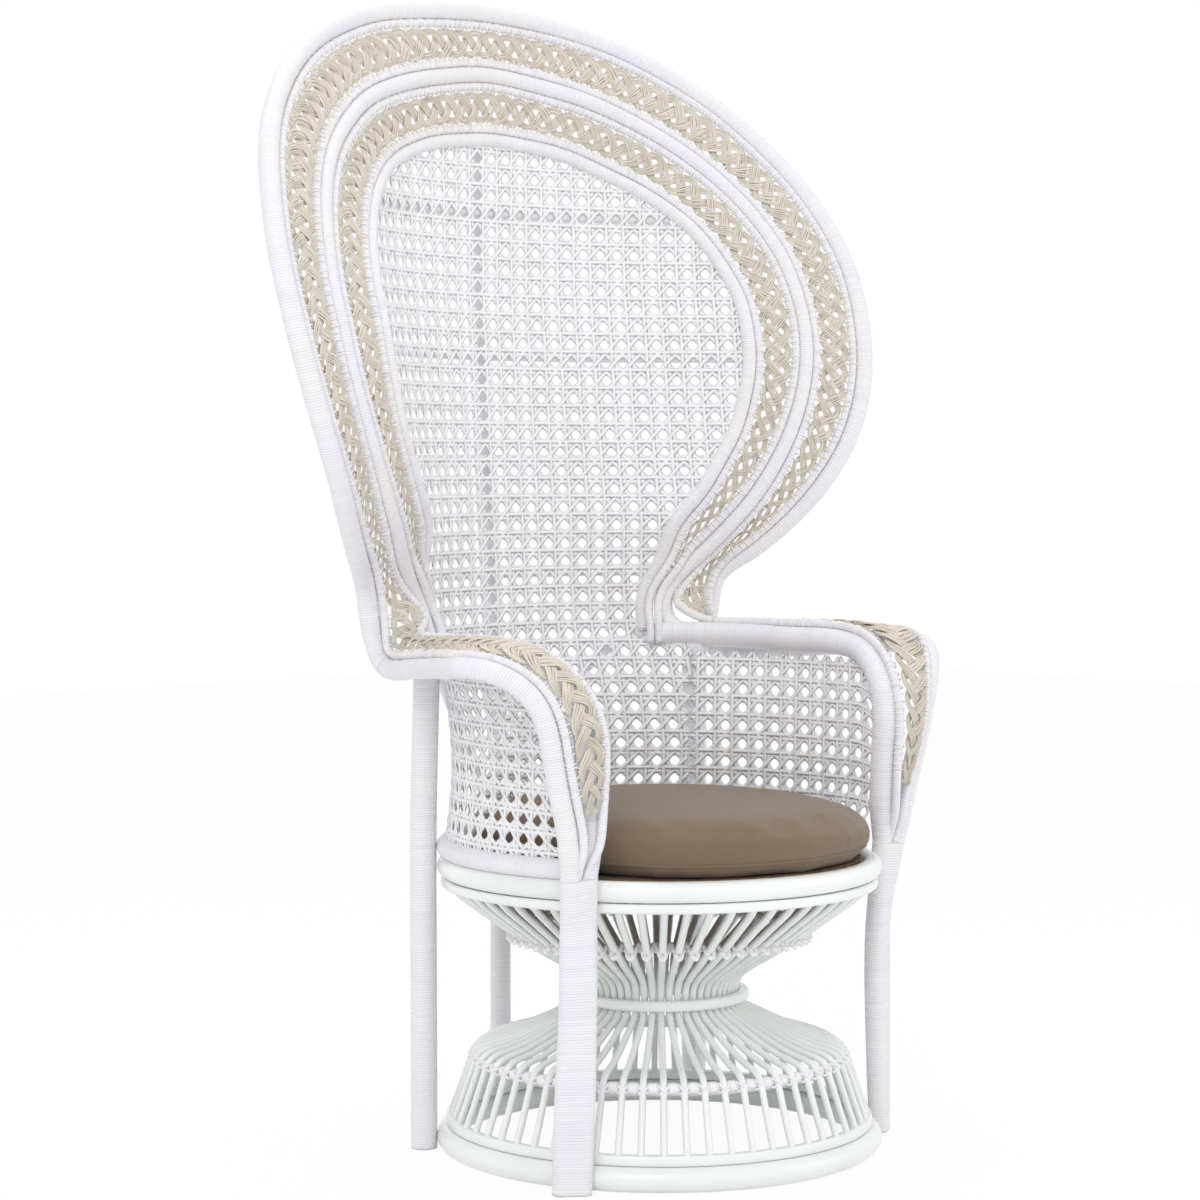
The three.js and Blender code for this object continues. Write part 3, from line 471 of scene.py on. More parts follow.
def skin(stations, far=None, closed=False, roundV=1.0, firstV=0.0):
    # Closed tube through stations (n, m, 3). Its UV holds metres along it and the share of the way round.
    n, m = stations.shape[:2]
    if far is None:
        far = reach(stations.mean(axis=1))
    i = np.arange(n if closed else n - 1)[:, None]
    k = np.arange(m)[None]
    j = (i + 1) % n
    nextK = (k + 1) % m
    quads = np.stack([i * m + k, i * m + nextK, j * m + nextK, j * m + k], axis=-1).reshape(-1, 4)
    farNext = np.append(far, far[-1] + (far[-1] - far[-2]))[1:][:n]
    here, there, v0, v1 = np.broadcast_arrays(far[i], farNext[i], firstV + roundV * k / m,
                                              firstV + roundV * (k + 1) / m)
    uv = np.stack([here, v0, here, v1, there, v1, there, v0], axis=-1).reshape(-1, 4, 2)
    points = stations.reshape(-1, 3)
    tris = np.zeros((0, 3), int)
    triUv = np.zeros((0, 3, 2))
    if not closed:
        points = np.concatenate([points, [stations[0].mean(axis=0), stations[-1].mean(axis=0)]])
        ks = np.arange(m)
        first = np.stack([np.full(m, n * m), (ks + 1) % m, ks], axis=1)
        last = np.stack([np.full(m, n * m + 1), (n - 1) * m + ks, (n - 1) * m + (ks + 1) % m], axis=1)
        tris = np.concatenate([first, last])
        triUv = np.zeros((len(tris), 3, 2))
        triUv[:m, :, 0] = far[0]
        triUv[m:, :, 0] = far[-1]
        triUv[:, 1, 1] = firstV + np.tile(ks / m, 2) * roundV
        triUv[:, 2, 1] = firstV + np.tile((ks + 1) / m, 2) * roundV
    return outward({"points": points, "quads": quads, "quadUv": uv, "tris": tris, "triUv": triUv, "far": far,
                    "firstV": firstV})


def outward(patch):
    # Turns the faces over when the volume that they enclose comes out negative.
    p, q, t = patch["points"], patch["quads"], patch["tris"]
    corners = np.concatenate([q[:, [0, 1, 2]], q[:, [0, 2, 3]], t])
    a, b, c = (p[corners[:, k]] for k in range(3))
    if np.sum(a * np.cross(b, c)) < 0:
        for key in ("quads", "quadUv", "tris", "triUv"):
            patch[key] = patch[key][:, ::-1]
    return patch


def mirror(patch):
    # The same patch on the other side of the chair.
    other = dict(patch)
    other["points"] = patch["points"] * np.array([-1.0, 1.0, 1.0])
    return outward(other)


def tube(line, radius, sides, side=None, far=None):
    side = carried(line) if side is None else side
    return skin(rings(line, side, discs(radius, sides, len(line))), far)


def cordLoop(line, centre, radius, sides, far, firstV=0.0):
    # Closed cord along a loop of points round a centre.
    heading = unit(np.roll(line, -1, axis=0) - np.roll(line, 1, axis=0))
    out = squared(line - centre, heading)
    stations = spread(line, out, np.cross(heading, out), discs(radius, sides, len(line)))
    return skin(stations, far, closed=True, firstV=firstV)


def cordRing(line, radius, sides, far):
    # Closed cord along a ring round the upright axis.
    return cordLoop(line, line * np.array([0.0, 0.0, 1.0]), radius, sides, far)


def hoop(radius, height, section, steps, sides=None):
    # Closed ring about the upright axis: the section's (radius, height) points turned round it.
    turn = turns(steps)
    profile = disc(section, sides) if np.isscalar(section) else np.asarray(section)
    stations = around(turn[:, None], radius + profile[:, 0], height + profile[:, 1])
    return skin(stations, turn * radius, closed=True)


def piece(name, patches, material, body="chair", stands=()):
    # One object from closed patches, placed in the frame by its mesh.
    offsets = np.cumsum([0] + [len(p["points"]) for p in patches])
    points = np.concatenate([p["points"] for p in patches]) + shift
    quads = np.concatenate([p["quads"] + o for p, o in zip(patches, offsets)])
    tris = np.concatenate([p["tris"] + o for p, o in zip(patches, offsets)])
    uv = np.concatenate([p[key].reshape(-1, 2) for key in ("quadUv", "triUv") for p in patches])
    loops = np.concatenate([quads.ravel(), tris.ravel()])
    starts = np.concatenate([np.arange(len(quads)) * 4, len(quads) * 4 + np.arange(len(tris)) * 3])
    mesh = bpy.data.meshes.new(name)
    mesh.vertices.add(len(points))
    mesh.vertices.foreach_set("co", points.astype(np.float32).ravel())
    mesh.loops.add(len(loops))
    mesh.loops.foreach_set("vertex_index", loops.astype(np.int32))
    mesh.polygons.add(len(starts))
    mesh.polygons.foreach_set("loop_start", starts.astype(np.int32))
    layer = mesh.uv_layers.new(name="weave")
    layer.data.foreach_set("uv", uv.astype(np.float32).ravel())
    mesh.update(calc_edges=True)
    mesh.validate()
    mesh.polygons.foreach_set("use_smooth", np.full(len(mesh.polygons), True))
    mesh.materials.append(material)
    made = bpy.data.objects.new(name, mesh)
    scene.collection.objects.link(made)
    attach(made, body)
    if stands:
        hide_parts(*stands)
    print(f"{name}: {len(quads) * 2 + len(tris)} triangles")


def wrapped(name, patches, *nodes):
    piece(name, patches, wrapMat, stands=nodes)


def painted(name, patches, *nodes):
    piece(name, patches, paintMat, stands=nodes)


def bothSides(name, patches, material, node=None):
    # A left piece and its mirror image on the right.
    for side, made in (("left", patches), ("right", [mirror(patch) for patch in patches])):
        piece(f"{name}_{side}", made, material, stands=[f"{node}_{side}"] if node else ())


# The poles' lines, left half from foot to top.
outerLeg = [(.2749, -.1258, 0), (.2725, -.1280, .12), (.2690, -.1302, .20), (.2690, -.1328, .29),
            (.2755, -.141, .345), (.2795, -.1455, .376)]
outerArm = [(.285, -.150, .405), (.291, -.152, .435), (.300, -.153, .465), (.309, -.155, .495),
            (.316, -.156, .524), (.324, -.156, .554), (.337, -.150, .584), (.351, -.139, .602),
            (.365, -.123, .614), (.377, -.103, .621), (.384, -.080, .6225), (.375, -.045, .619),
            (.335, .037, .6135), (.303, .13, .606)]
outerCorner = [(.291, .160, .603), (.286, .184, .603), (.284, .202, .612), (.287, .210, .632)]
outerFan = [(.293, .211, .656), (.302, .209, .70), (.347, .169, .746), (.385, .137, .789), (.415, .114, .832),
            (.439, .101, .873), (.457, .096, .912), (.471, .096, .953), (.481, .101, .993),
            (.487, .110, 1.035), (.490, .122, 1.076), (.489, .136, 1.117), (.481, .156, 1.162),
            (.468, .179, 1.205), (.446, .208, 1.252), (.412, .240, 1.299), (.367, .271, 1.345),
            (.307, .303, 1.386), (.241, .324, 1.416), (.171, .343, 1.436), (.110, .344, 1.445),
            (.049, .345, 1.450), (0, .347, 1.452)]
innerLeg = [(.2556, -.1393, 0), (.2490, -.1390, .12), (.2466, -.1391, .25), (.252, -.146, .372)]
innerPost = [(.250, -.149, .435), (.2485, -.152, .478), (.2485, -.155, .541), (.2518, -.1488, .5645),
             (.2583, -.1336, .5872), (.2671, -.1108, .606), (.2775, -.0797, .619), (.277, -.045, .6245),
             (.27, .03, .6255), (.262, .11, .6265), (.240, .160, .6275)]
railEnd = [(.212, .193, .628), (.186, .219, .627)]
middleFoot = [(.236, .166, .628), (.219, .190, .631), (.2095, .207, .643)]
middleFan = [(.209, .2155, .663), (.219, .2165, .690), (.2405, .2045, .717), (.264, .187, .744),
             (.285, .170, .771), (.315, .150, .811), (.340, .137, .852), (.362, .129, .895),
             (.379, .126, .937), (.391, .127, .977), (.398, .132, 1.019), (.401, .143, 1.060),
             (.398, .158, 1.104), (.388, .177, 1.148), (.367, .204, 1.195), (.333, .235, 1.242),
             (.283, .267, 1.286), (.216, .300, 1.325), (.152, .312, 1.346), (.082, .325, 1.360),
             (0, .334, 1.369)]
innerFan = [(.185, .225, .632), (.1865, .231, .650), (.188, .2345, .671), (.195, .232, .693),
            (.206, .220, .722), (.214, .1985, .776), (.243, .176, .820), (.267, .165, .862),
            (.289, .156, .905), (.302, .153, .948), (.311, .153, .991), (.314, .160, 1.035),
            (.314, .174, 1.077), (.302, .197, 1.123), (.279, .224, 1.169), (.230, .266, 1.218),
            (.173, .300, 1.250), (.115, .313, 1.270), (.046, .323, 1.280), (0, .325, 1.283)]

# Radius of each kind of pole, and the faces round it.
poles = {"outer": 0.0125, "leg": 0.0112, "rail": 0.0163, "middle": 0.0105, "middleFoot": 0.0128,
         "inner": 0.009, "strip": 0.0054}
faces = {"outer": 18, "rail": 20, "middle": 18, "inner": 16, "strip": 10}

# Heights between which the inner pole gains its second winding, the outer pole grows to its full size, the
# middle hoop's thick feet end, and the outer band leaves the rail for the middle hoop.
railGrows = (0.372, 0.42)
legGrows = (0.360, 0.400)
middleThins = (0.66, 0.72)
railEnds = (0.640, 0.675)


def flipped(points):
    return [(-x, y, z) for x, y, z in points[::-1]]


def wholeLine(half, passes=10):
    # From the left foot over the top to the right foot.
    return through(half + flipped(half[:-1]), passes=passes)


outerLine = wholeLine(outerLeg + outerArm + outerCorner + outerFan)
fanMiddleLine = wholeLine(middleFoot + middleFan)
fanInnerLine = wholeLine(innerFan)
railLine = through(innerLeg + innerPost + railEnd, passes=5)


def paired(first, second, evening=12):
    # Where two poles stand side by side: the place on the second line that is nearest to each point of the
    # first, kept from running backwards and evened out.
    gaps = np.linalg.norm(first[:, None] - second[None], axis=2)
    nearest = np.maximum.accumulate(np.argmin(gaps, axis=1)).astype(float)
    nearest = soften(nearest[:, None], evening * 4)[:, 0]
    return between(nearest, np.arange(len(second)), second)


def nearestTo(line, place):
    return int(np.argmin(np.linalg.norm(line - np.array(place), axis=1)))


def firstAbove(line, height):
    # Index of the first point of a line, from its left foot, that is above a height.
    return int(np.argmax(line[:, 2] > height))


def trimmed(line, height):
    low = firstAbove(line, height)
    return line[low:len(line) - low]


stripRest = {"armTilt": 48.0, "railTilt": 80.0, "fanTilt": 8.0, "tilts": (0.65, 0.73), "gap": 0.0004,
             "spare": 0.0006, "tuck": 0.0002, "sunk": 0.003, "bound": 0.412, "sinks": 0.034}


def stripBeside(line, other, poleRadius, facing=1.0, evening=10, armTilt=stripRest["armTilt"]):
    # A thin strip against a pole on the side of the next pole. On the arm it sits up on its pole, on the fan
    # at its side. Where the poles come together it slides forward, and at its foot it goes in between them.
    s = stripRest
    near = paired(line, other)
    way = along(line)
    toward = squared(near - line, way)
    room = np.linalg.norm(near - line, axis=1)
    tilt = np.radians(np.interp(line[:, 2], s["tilts"], (armTilt, s["fanTilt"])))
    off = poleRadius + poles["strip"] + s["gap"]
    aside = np.clip(room / 2 - poles["strip"] - s["spare"], 0.0, off * np.cos(tilt))
    lift = np.sqrt(np.maximum(off ** 2 - aside ** 2, 0.0))
    front = facing * unit(np.cross(way, toward))
    placed = line + aside[:, None] * toward + lift[:, None] * front
    tucked = (line + near) / 2 - toward * (poles["strip"] + s["tuck"]) + front * s["sunk"]
    sink = np.clip((s["bound"] - line[:, 2]) / s["sinks"], 0, 1)[:, None]
    return soften(lerp(placed, tucked, sink * sink * (3 - 2 * sink)), evening)


# The thick poles, each along its own CAD nodes. The rail's end is a dome.
outerCount = len(outerLine)
cornerAt = nearestTo(outerLine, (.289, .19, .605))
outerSide = carried(outerLine)
outerFar = reach(outerLine)
outerRadius = np.interp(outerLine[:, 2], legGrows, (poles["leg"], poles["outer"]))
middleRadius = np.interp(fanMiddleLine[:, 2], middleThins, (poles["middleFoot"], poles["middle"]))
railLeft = np.clip((reach(railLine)[-1] - reach(railLine)) / poles["rail"], 0.0, 1.0)
railDome = np.sqrt(np.maximum(1 - (1 - railLeft) ** 2, 0.04))
railRadius = np.interp(railLine[:, 2], railGrows, (poles["leg"], poles["rail"])) * railDome


def poleParts():
    spans = {"outer_pole_arm_left": (0, cornerAt, "arm_pole_outer_left"),
             "outer_pole_fan": (cornerAt, outerCount - 1 - cornerAt, "fan_pole_outer"),
             "outer_pole_arm_right": (outerCount - 1 - cornerAt, outerCount - 1, "arm_pole_outer_right")}
    for name, (low, high, node) in spans.items():
        cut = slice(low, high + 1)
        part = tube(outerLine[cut], outerRadius[cut], faces["outer"], outerSide[cut], outerFar[cut])
        wrapped(name, [part], node)
    wrapped("middle_pole_fan", [tube(fanMiddleLine, middleRadius, faces["middle"])], "fan_pole_middle")
    wrapped("inner_pole_fan", [tube(fanInnerLine, poles["inner"], faces["inner"])], "fan_pole_inner")
    rail = tube(railLine, railRadius, faces["rail"])
    bothSides("rail_pole", [rail], wrapMat, "arm_pole_inner")


poleParts()

# One cord winding holds both front leg poles together, from the floor to the seat.
legWrap = {"top": 0.374, "above": 0.38, "grow": 0.0007, "rows": 90, "sides": 32}


def legPair(w):
    rows, sides = w["rows"], w["sides"]
    z = np.linspace(0.0, w["top"], rows)
    lines = []
    for pole in (outerLine, railLine):
        leg = pole[:firstAbove(pole, w["above"])]
        lines.append(between(z, leg[:, 2], leg))
    middle = (lines[0] + lines[1]) / 2
    apart = lines[0] - lines[1]
    half = np.linalg.norm(apart, axis=1)[:, None] / 2
    turn = turns(sides)
    radius = poles["leg"] + w["grow"]
    ends = np.where(np.cos(turn) >= 0, 1.0, -1.0)
    profile = np.stack([ends[None] * half + radius * np.cos(turn)[None],
                        np.broadcast_to(radius * np.sin(turn), (rows, sides))], axis=-1)
    wrap = skin(rings(middle, squared(unit(apart), along(middle)), profile))
    bothSides("leg_wrap", [wrap], wrapMat)


legPair(legWrap)

# The second line of the outer band: up the post, along the rail and over the middle fan hoop.
bandInner = wholeLine(innerLeg + innerPost + [(.222, .188, .634)] + middleFan, passes=24)
bandStart = {"strips": 0.366, "outerBraid": 0.448, "binding": 0.458, "innerBraid": 0.70, "innerStrips": 0.662}
outerTrim = trimmed(outerLine, bandStart["strips"])
innerTrim = trimmed(bandInner, bandStart["strips"])
innerRadius = np.interp(innerTrim[:, 2], (*railGrows, *railEnds),
                        (poles["leg"], poles["rail"], poles["rail"], poles["middle"]))
strip1 = stripBeside(outerTrim, innerTrim, poles["outer"])
strip2 = stripBeside(innerTrim, outerTrim, innerRadius, -1.0, 16, stripRest["railTilt"])


# Braids: three ribbons that change places, each of some leaf strips side by side. Each ribbon swings across
# the band as a sine of the distance and rises and falls at twice that rate, a third of a period after the one
# before. It is wider where it crosses the others.
braid = {"period": 0.080, "swing": 0.74, "ribbon": 0.215, "spread": 0.10, "rise": 0.0022, "leaves": 8,
         "thick": 0.0008, "wander": 0.8, "wanders": 0.071, "lifts": 0.053, "step": 0.0042, "clear": 0.0002,
         "least": 0.004, "full": 0.016, "thinnest": 0.35, "overlap": 1.3, "arch": 0.9, "waver": 0.5,
         "bulge": 0.0060, "bulgeTop": 0.70, "bulgeFade": 0.06, "seed": 7}


def leafLines(path, side, normal, reachOut, far, w, chance):
    # The strips of one ribbon: side by side across it, each wandering a little sideways and up and down.
    count = w["leaves"]
    for n in range(count):
        first, second = chance.random(2)
        place = (2 * n + 1) / count - 1
        sideways = place + w["wander"] / count * np.sin(2 * math.pi * (far / w["wanders"] + first))
        wave = np.sin(2 * math.pi * (far / w["lifts"] + second))
        lift = w["thick"] * (w["arch"] * (1 - place ** 2) + w["waver"] * wave)
        yield path + (sideways * reachOut)[:, None] * side + lift[:, None] * normal


def leafSection(reachOut, thin, w):
    # Lens of six points for each station: half width and half thickness.
    shape = np.array([(-1, 0), (-0.5, 1), (0.5, 1), (1, 0), (0.5, -1), (-0.5, -1)], float)
    wide = w["overlap"] * reachOut / w["leaves"]
    return shape[None] * np.stack([wide, w["thick"] * thin], axis=1)[:, None]


def braidPatches(lineA, lineB, w):
    chance = np.random.default_rng(w["seed"])
    middle = evenly((lineA + paired(lineA, lineB, 16)) / 2, w["step"])
    width = paired(middle, lineB, 8) - paired(middle, lineA, 8)
    way = along(middle)
    across = squared(width, way)
    front = unit(np.cross(way, across))
    half = np.linalg.norm(width, axis=1) / 2 - poles["strip"] - w["clear"]
    half = np.maximum(soften(half[:, None], 10)[:, 0], w["least"])
    far = reach(middle)
    thin = np.clip(half / w["full"], w["thinnest"], 1.0)
    onArm = np.clip((w["bulgeTop"] - middle[:, 2]) / w["bulgeFade"], 0.0, 1.0) * thin
    middle = middle + (w["bulge"] * onArm)[:, None] * front
    patches = []
    for n in range(3):
        phase = 2 * math.pi * (far / w["period"] + n / 3)
        path = (middle + (w["swing"] * half * np.sin(phase))[:, None] * across
                + (w["rise"] * thin * np.sin(2 * phase))[:, None] * front)
        heading = along(path)
        side = unit(np.cross(front, heading))
        normal = unit(np.cross(heading, side))
        reachOut = (w["ribbon"] + w["spread"] * np.cos(phase) ** 2) * half
        for line in leafLines(path, side, normal, reachOut, far, w, chance):
            stations = rings(line, squared(side, along(line)), leafSection(reachOut, thin, w))
            patches.append(skin(stations, far, firstV=float(len(patches) + 1)))
    return patches, middle


# Binding: thin fibres round each strip and the braid's edge beside it.
binding = {"pitch": 0.0088, "jitter": 0.6, "cord": 0.0008, "gap": 0.0004, "reach": 0.0017, "slant": 0.0014,
           "steps": 12, "sides": 5, "spacing": 0.003, "seed": 3}


def bindingLoops(strip, other, w, low, high):
    # Closed ovals round a strip that reach over towards the other line, unevenly spaced and aslant.
    chance = np.random.default_rng(w["seed"])
    far = reach(strip)
    at = np.arange(far[low] + w["pitch"], far[high] - w["pitch"], w["pitch"])
    at = at + w["pitch"] * w["jitter"] * (chance.random(len(at)) - 0.5)
    way = along(strip)
    toward = squared(paired(strip, other, 4) - strip, way)
    turn = turns(w["steps"])
    snug = poles["strip"] + w["gap"]
    patches = []
    for place, lean in zip(at, chance.random(len(at)) - 0.5):
        i = int(np.argmin(np.abs(far - place)))
        u, t = toward[i], way[i]
        line = (strip[i] + u * w["reach"] + (snug + w["reach"]) * np.cos(turn)[:, None] * u
                + snug * np.sin(turn)[:, None] * np.cross(t, u)
                + (w["slant"] * lean * 2 * np.cos(turn))[:, None] * t)
        patches.append(cordLoop(line, strip[i], w["cord"], w["sides"], np.arange(w["steps"]) * w["spacing"],
                                float(i)))
    return patches


def cutBraid(patch, low, high, count):
    # The part of a leaf strip between two stations, capped again.
    m = (len(patch["points"]) - 2) // count
    stations = patch["points"][:count * m].reshape(count, m, 3)
    return skin(stations[low:high + 1], patch["far"][low:high + 1], firstV=patch["firstV"])


def bandParts():
    # The outer band runs from one arm over the fan to the other. It is cut where its CAD nodes meet.
    low1 = firstAbove(strip1, bandStart["outerBraid"])
    low2 = firstAbove(strip2, bandStart["outerBraid"])
    patches, middle = braidPatches(strip1[low1:len(strip1) - low1], strip2[low2:len(strip2) - low2], braid)
    corner = nearestTo(middle, (.262, .185, .62))
    ends = {}
    for key, line in (("one", strip1), ("two", strip2), ("braid", middle)):
        at = nearestTo(line, middle[corner])
        ends[key] = (0, at, len(line) - 1 - at, len(line) - 1)
    spans = [("left", ("arm_strip_outer_left", "arm_strip_inner_left", "arm_braid_left")),
             ("fan", ("fan_strip_1", "fan_strip_2", "fan_braid_outer")),
             ("right", ("arm_strip_outer_right", "arm_strip_inner_right", "arm_braid_right"))]
    for n, (label, nodes) in enumerate(spans):
        loops = []
        for tag, line, other, node in (("one", strip1, strip2, nodes[0]), ("two", strip2, strip1, nodes[1])):
            low, high = ends[tag][n], ends[tag][n + 1]
            cut = slice(low, high + 1)
            part = tube(line[cut], poles["strip"], faces["strip"], carried(line)[cut], reach(line)[cut])
            wrapped(f"strip_{tag}_{label}", [part], node)
            first = firstAbove(line, bandStart["binding"])
            loops += bindingLoops(line, other, binding, max(low, first), min(high, len(line) - 1 - first))
        leaves = [cutBraid(patch, ends["braid"][n], ends["braid"][n + 1], len(middle)) for patch in patches]
        piece(f"braid_outer_{label}", leaves, fibreMat, stands=[nodes[2]])
        piece(f"braid_binding_{label}", loops, bindMat)


bandParts()

# The inner band lies between the middle and the inner fan hoops. Its strips end on the face of the rail.
foot3 = [(.1855, .1975, .617), (.1865, .1985, .632)]
foot4 = [(.1772, .2048, .617), (.1782, .2058, .632)]


def stripFeet(line, foot):
    return through(foot + [tuple(p) for p in line[3:-3:4]] + flipped(foot), passes=3)


def innerBandParts():
    middle = trimmed(fanMiddleLine, bandStart["innerStrips"])
    inner = trimmed(fanInnerLine, bandStart["innerStrips"])
    strip3 = stripFeet(stripBeside(middle, inner, poles["middle"]), foot3)
    strip4 = stripFeet(stripBeside(inner, middle, poles["inner"], -1.0), foot4)
    wrapped("strip_three", [tube(strip3, poles["strip"], faces["strip"])], "fan_strip_3")
    wrapped("strip_four", [tube(strip4, poles["strip"], faces["strip"])], "fan_strip_4")
    lineA = trimmed(strip3, bandStart["innerBraid"])
    lineB = trimmed(strip4, bandStart["innerBraid"])
    patches, _ = braidPatches(lineA, lineB, braid)
    piece("braid_inner", patches, fibreMat, stands=["fan_braid_inner"])
    loops = bindingLoops(lineA, lineB, binding, 2, len(lineA) - 3)
    loops += bindingLoops(lineB, lineA, binding, 2, len(lineB) - 3)
    piece("braid_inner_binding", loops, bindMat)


innerBandParts()

# Seat hoop and rear posts: single wrapped poles.
seatHoop = {"radius": 0.2673, "height": 0.3792, "section": 0.0125, "reach": 117.6, "stations": 300,
            "faces": 18}
rearPost = {"turn": 52.5, "foot": 0.2959, "straight": (0, 0.2, 0.402), "top": 0.2908, "high": 0.615,
            "radius": 0.0165, "faces": 18}


def hoopParts(w):
    turn = np.linspace(-w["reach"], w["reach"], w["stations"])
    part = tube(polar(turn, w["radius"], w["height"]), w["section"], w["faces"])
    wrapped("seat_hoop_wrap", [part], "seat_hoop")


def rearPostParts(w):
    points = [polar(w["turn"], w["foot"], z) for z in w["straight"]] + [polar(w["turn"], w["top"], w["high"])]
    post = tube(through(points, passes=4), w["radius"], w["faces"])
    bothSides("rear_post_wrap", [post], wrapMat, "rear_post")


hoopParts(seatHoop)
rearPostParts(rearPost)

# The cane's surface: at each height a row that bows back in the middle, by the edge point and the centre's
# depth. Up to the arms its radius is drawn in between its foot and its top; above them its edge is the inner
# fan hoop.
cane = {"pitch": 0.0242, "apart": 0.00275, "wide": 0.0058, "thick": 0.0011, "weave": 0.0006, "layer": 0.0006,
        "twin": 0.0004, "step": 0.0055, "bottom": 0.384, "foot": 0.390, "rise": 0.222, "armTop": 0.612,
        "bend": 52.5, "frontEdge": 116.9, "frontRadius": 0.291, "radii": (0.2673, 0.2748), "drawn": 0.048,
        "bow": ((0, .2, .42, .68, 1), (1, .978, .975, 1.015, 1.09)), "depths": (0.2914, 0.3245), "lean": 1.4,
        "fan": 0.66, "railFrom": 0.585}
innerHalfLine = fanInnerLine[:len(fanInnerLine) // 2 + 1]


def risen(z):
    # Share of the way up from the cane's foot to the arms.
    return np.clip((z - cane["foot"]) / cane["rise"], 0, 1)


def panelRadius(share):
    return lerp(*cane["radii"], share) - cane["drawn"] * share * (1 - share)


def centreDepth(z):
    low = cane["radii"][0] * np.interp(risen(z), *cane["bow"])
    high = lerp(*cane["depths"], np.clip(cane["lean"] * (z - cane["armTop"]) / cane["fan"], 0, 1))
    return np.where(z < cane["armTop"], low, high)


def edgePoint(z):
    turn = math.radians(cane["bend"])
    radius = panelRadius(risen(z))
    footX, footY, footZ = innerHalfLine[0]
    share = np.clip((z - cane["armTop"]) / (footZ - cane["armTop"]), 0, 1)
    rising = innerHalfLine[np.argsort(innerHalfLine[:, 2])]
    hoopX, hoopY = (np.interp(z, rising[:, 2], rising[:, k]) for k in range(2))
    x = np.where(z > footZ, hoopX, lerp(radius * math.sin(turn), footX, share))
    y = np.where(z > footZ, hoopY, lerp(radius * math.cos(turn), footY, share))
    return x, y


def backPoint(z, turnShare):
    # Row: x is the edge's times the sine of the turn, y runs from the edge's to the centre's with the bow.
    bend = math.radians(cane["bend"])
    x, y = edgePoint(z)
    turn = bend * turnShare
    bow = (np.cos(turn) - math.cos(bend)) / (1 - math.cos(bend))
    return np.stack([x * np.sin(turn) / math.sin(bend), lerp(y, centreDepth(z), bow), z + 0 * turn], axis=-1)


class Sheet:
    # A table of a woven sheet's points by the distance across each row and the height, with its steps upwards
    # and across.
    tall = 0.004
    wide = 0.003

    def __init__(self, pointAt, low, high, shares):
        self.z = np.arange(low, high, self.tall)
        zz, ss = np.meshgrid(self.z, shares, indexing="ij")
        rows = pointAt(zz, ss)
        steps = np.linalg.norm(np.diff(rows, axis=1), axis=2)
        far = np.concatenate([np.zeros((len(self.z), 1)), np.cumsum(steps, axis=1)], axis=1)
        middle = int(np.argmin(np.abs(shares)))
        far = far - far[:, middle:middle + 1]
        self.low, self.high = far[:, 0], far[:, -1]
        self.u = np.arange(far.min(), far.max() + self.wide, self.wide)
        self.rows = np.stack([between(self.u, far[i], rows[i]) for i in range(len(self.z))])

    def at(self, u, z):
        # Point of the sheet, and whether it lies on it.
        i = np.clip((z - self.z[0]) / self.tall, 0, len(self.z) - 1.001)
        j = np.clip((u - self.u[0]) / self.wide, 0, len(self.u) - 1.001)
        i0, j0 = i.astype(int), j.astype(int)
        fi, fj = (i - i0)[:, None], (j - j0)[:, None]
        r = self.rows
        p = ((1 - fi) * (1 - fj) * r[i0, j0] + (1 - fi) * fj * r[i0, j0 + 1]
             + fi * (1 - fj) * r[i0 + 1, j0] + fi * fj * r[i0 + 1, j0 + 1])
        inside = ((u >= np.interp(z, self.z, self.low)) & (u <= np.interp(z, self.z, self.high))
                  & (z >= self.z[0]) & (z <= self.z[-1]))
        return p, inside

    def front(self, u, z):
        # Direction square to the sheet, towards the sitter.
        e = self.wide
        a = self.at(u + e, z)[0] - self.at(u - e, z)[0]
        b = self.at(u, z + e)[0] - self.at(u, z - e)[0]
        return unit(np.cross(a, b))


def strand(sheet, u, z, layer, phase, w):
    # Flat strand along (u, z): the runs of it that lie on the sheet, waved over and under by half a pitch.
    p, inside = sheet.at(u, z)
    front = sheet.front(u, z)
    p = p + (layer + w["weave"] * np.cos(phase))[:, None] * front
    edges = np.flatnonzero(np.diff(np.concatenate([[0], inside.astype(int), [0]])))
    section = np.array([[-w["wide"] / 2, 0], [0, w["thick"]], [w["wide"] / 2, 0], [0, -w["thick"]]])
    found = []
    for low, high in zip(edges[::2], edges[1::2]):
        if high - low >= 3:
            line, normal = p[low:high], front[low:high]
            side = unit(np.cross(along(line), normal))
            found.append(skin(spread(line, side, normal, section), roundV=2.0))
    return found


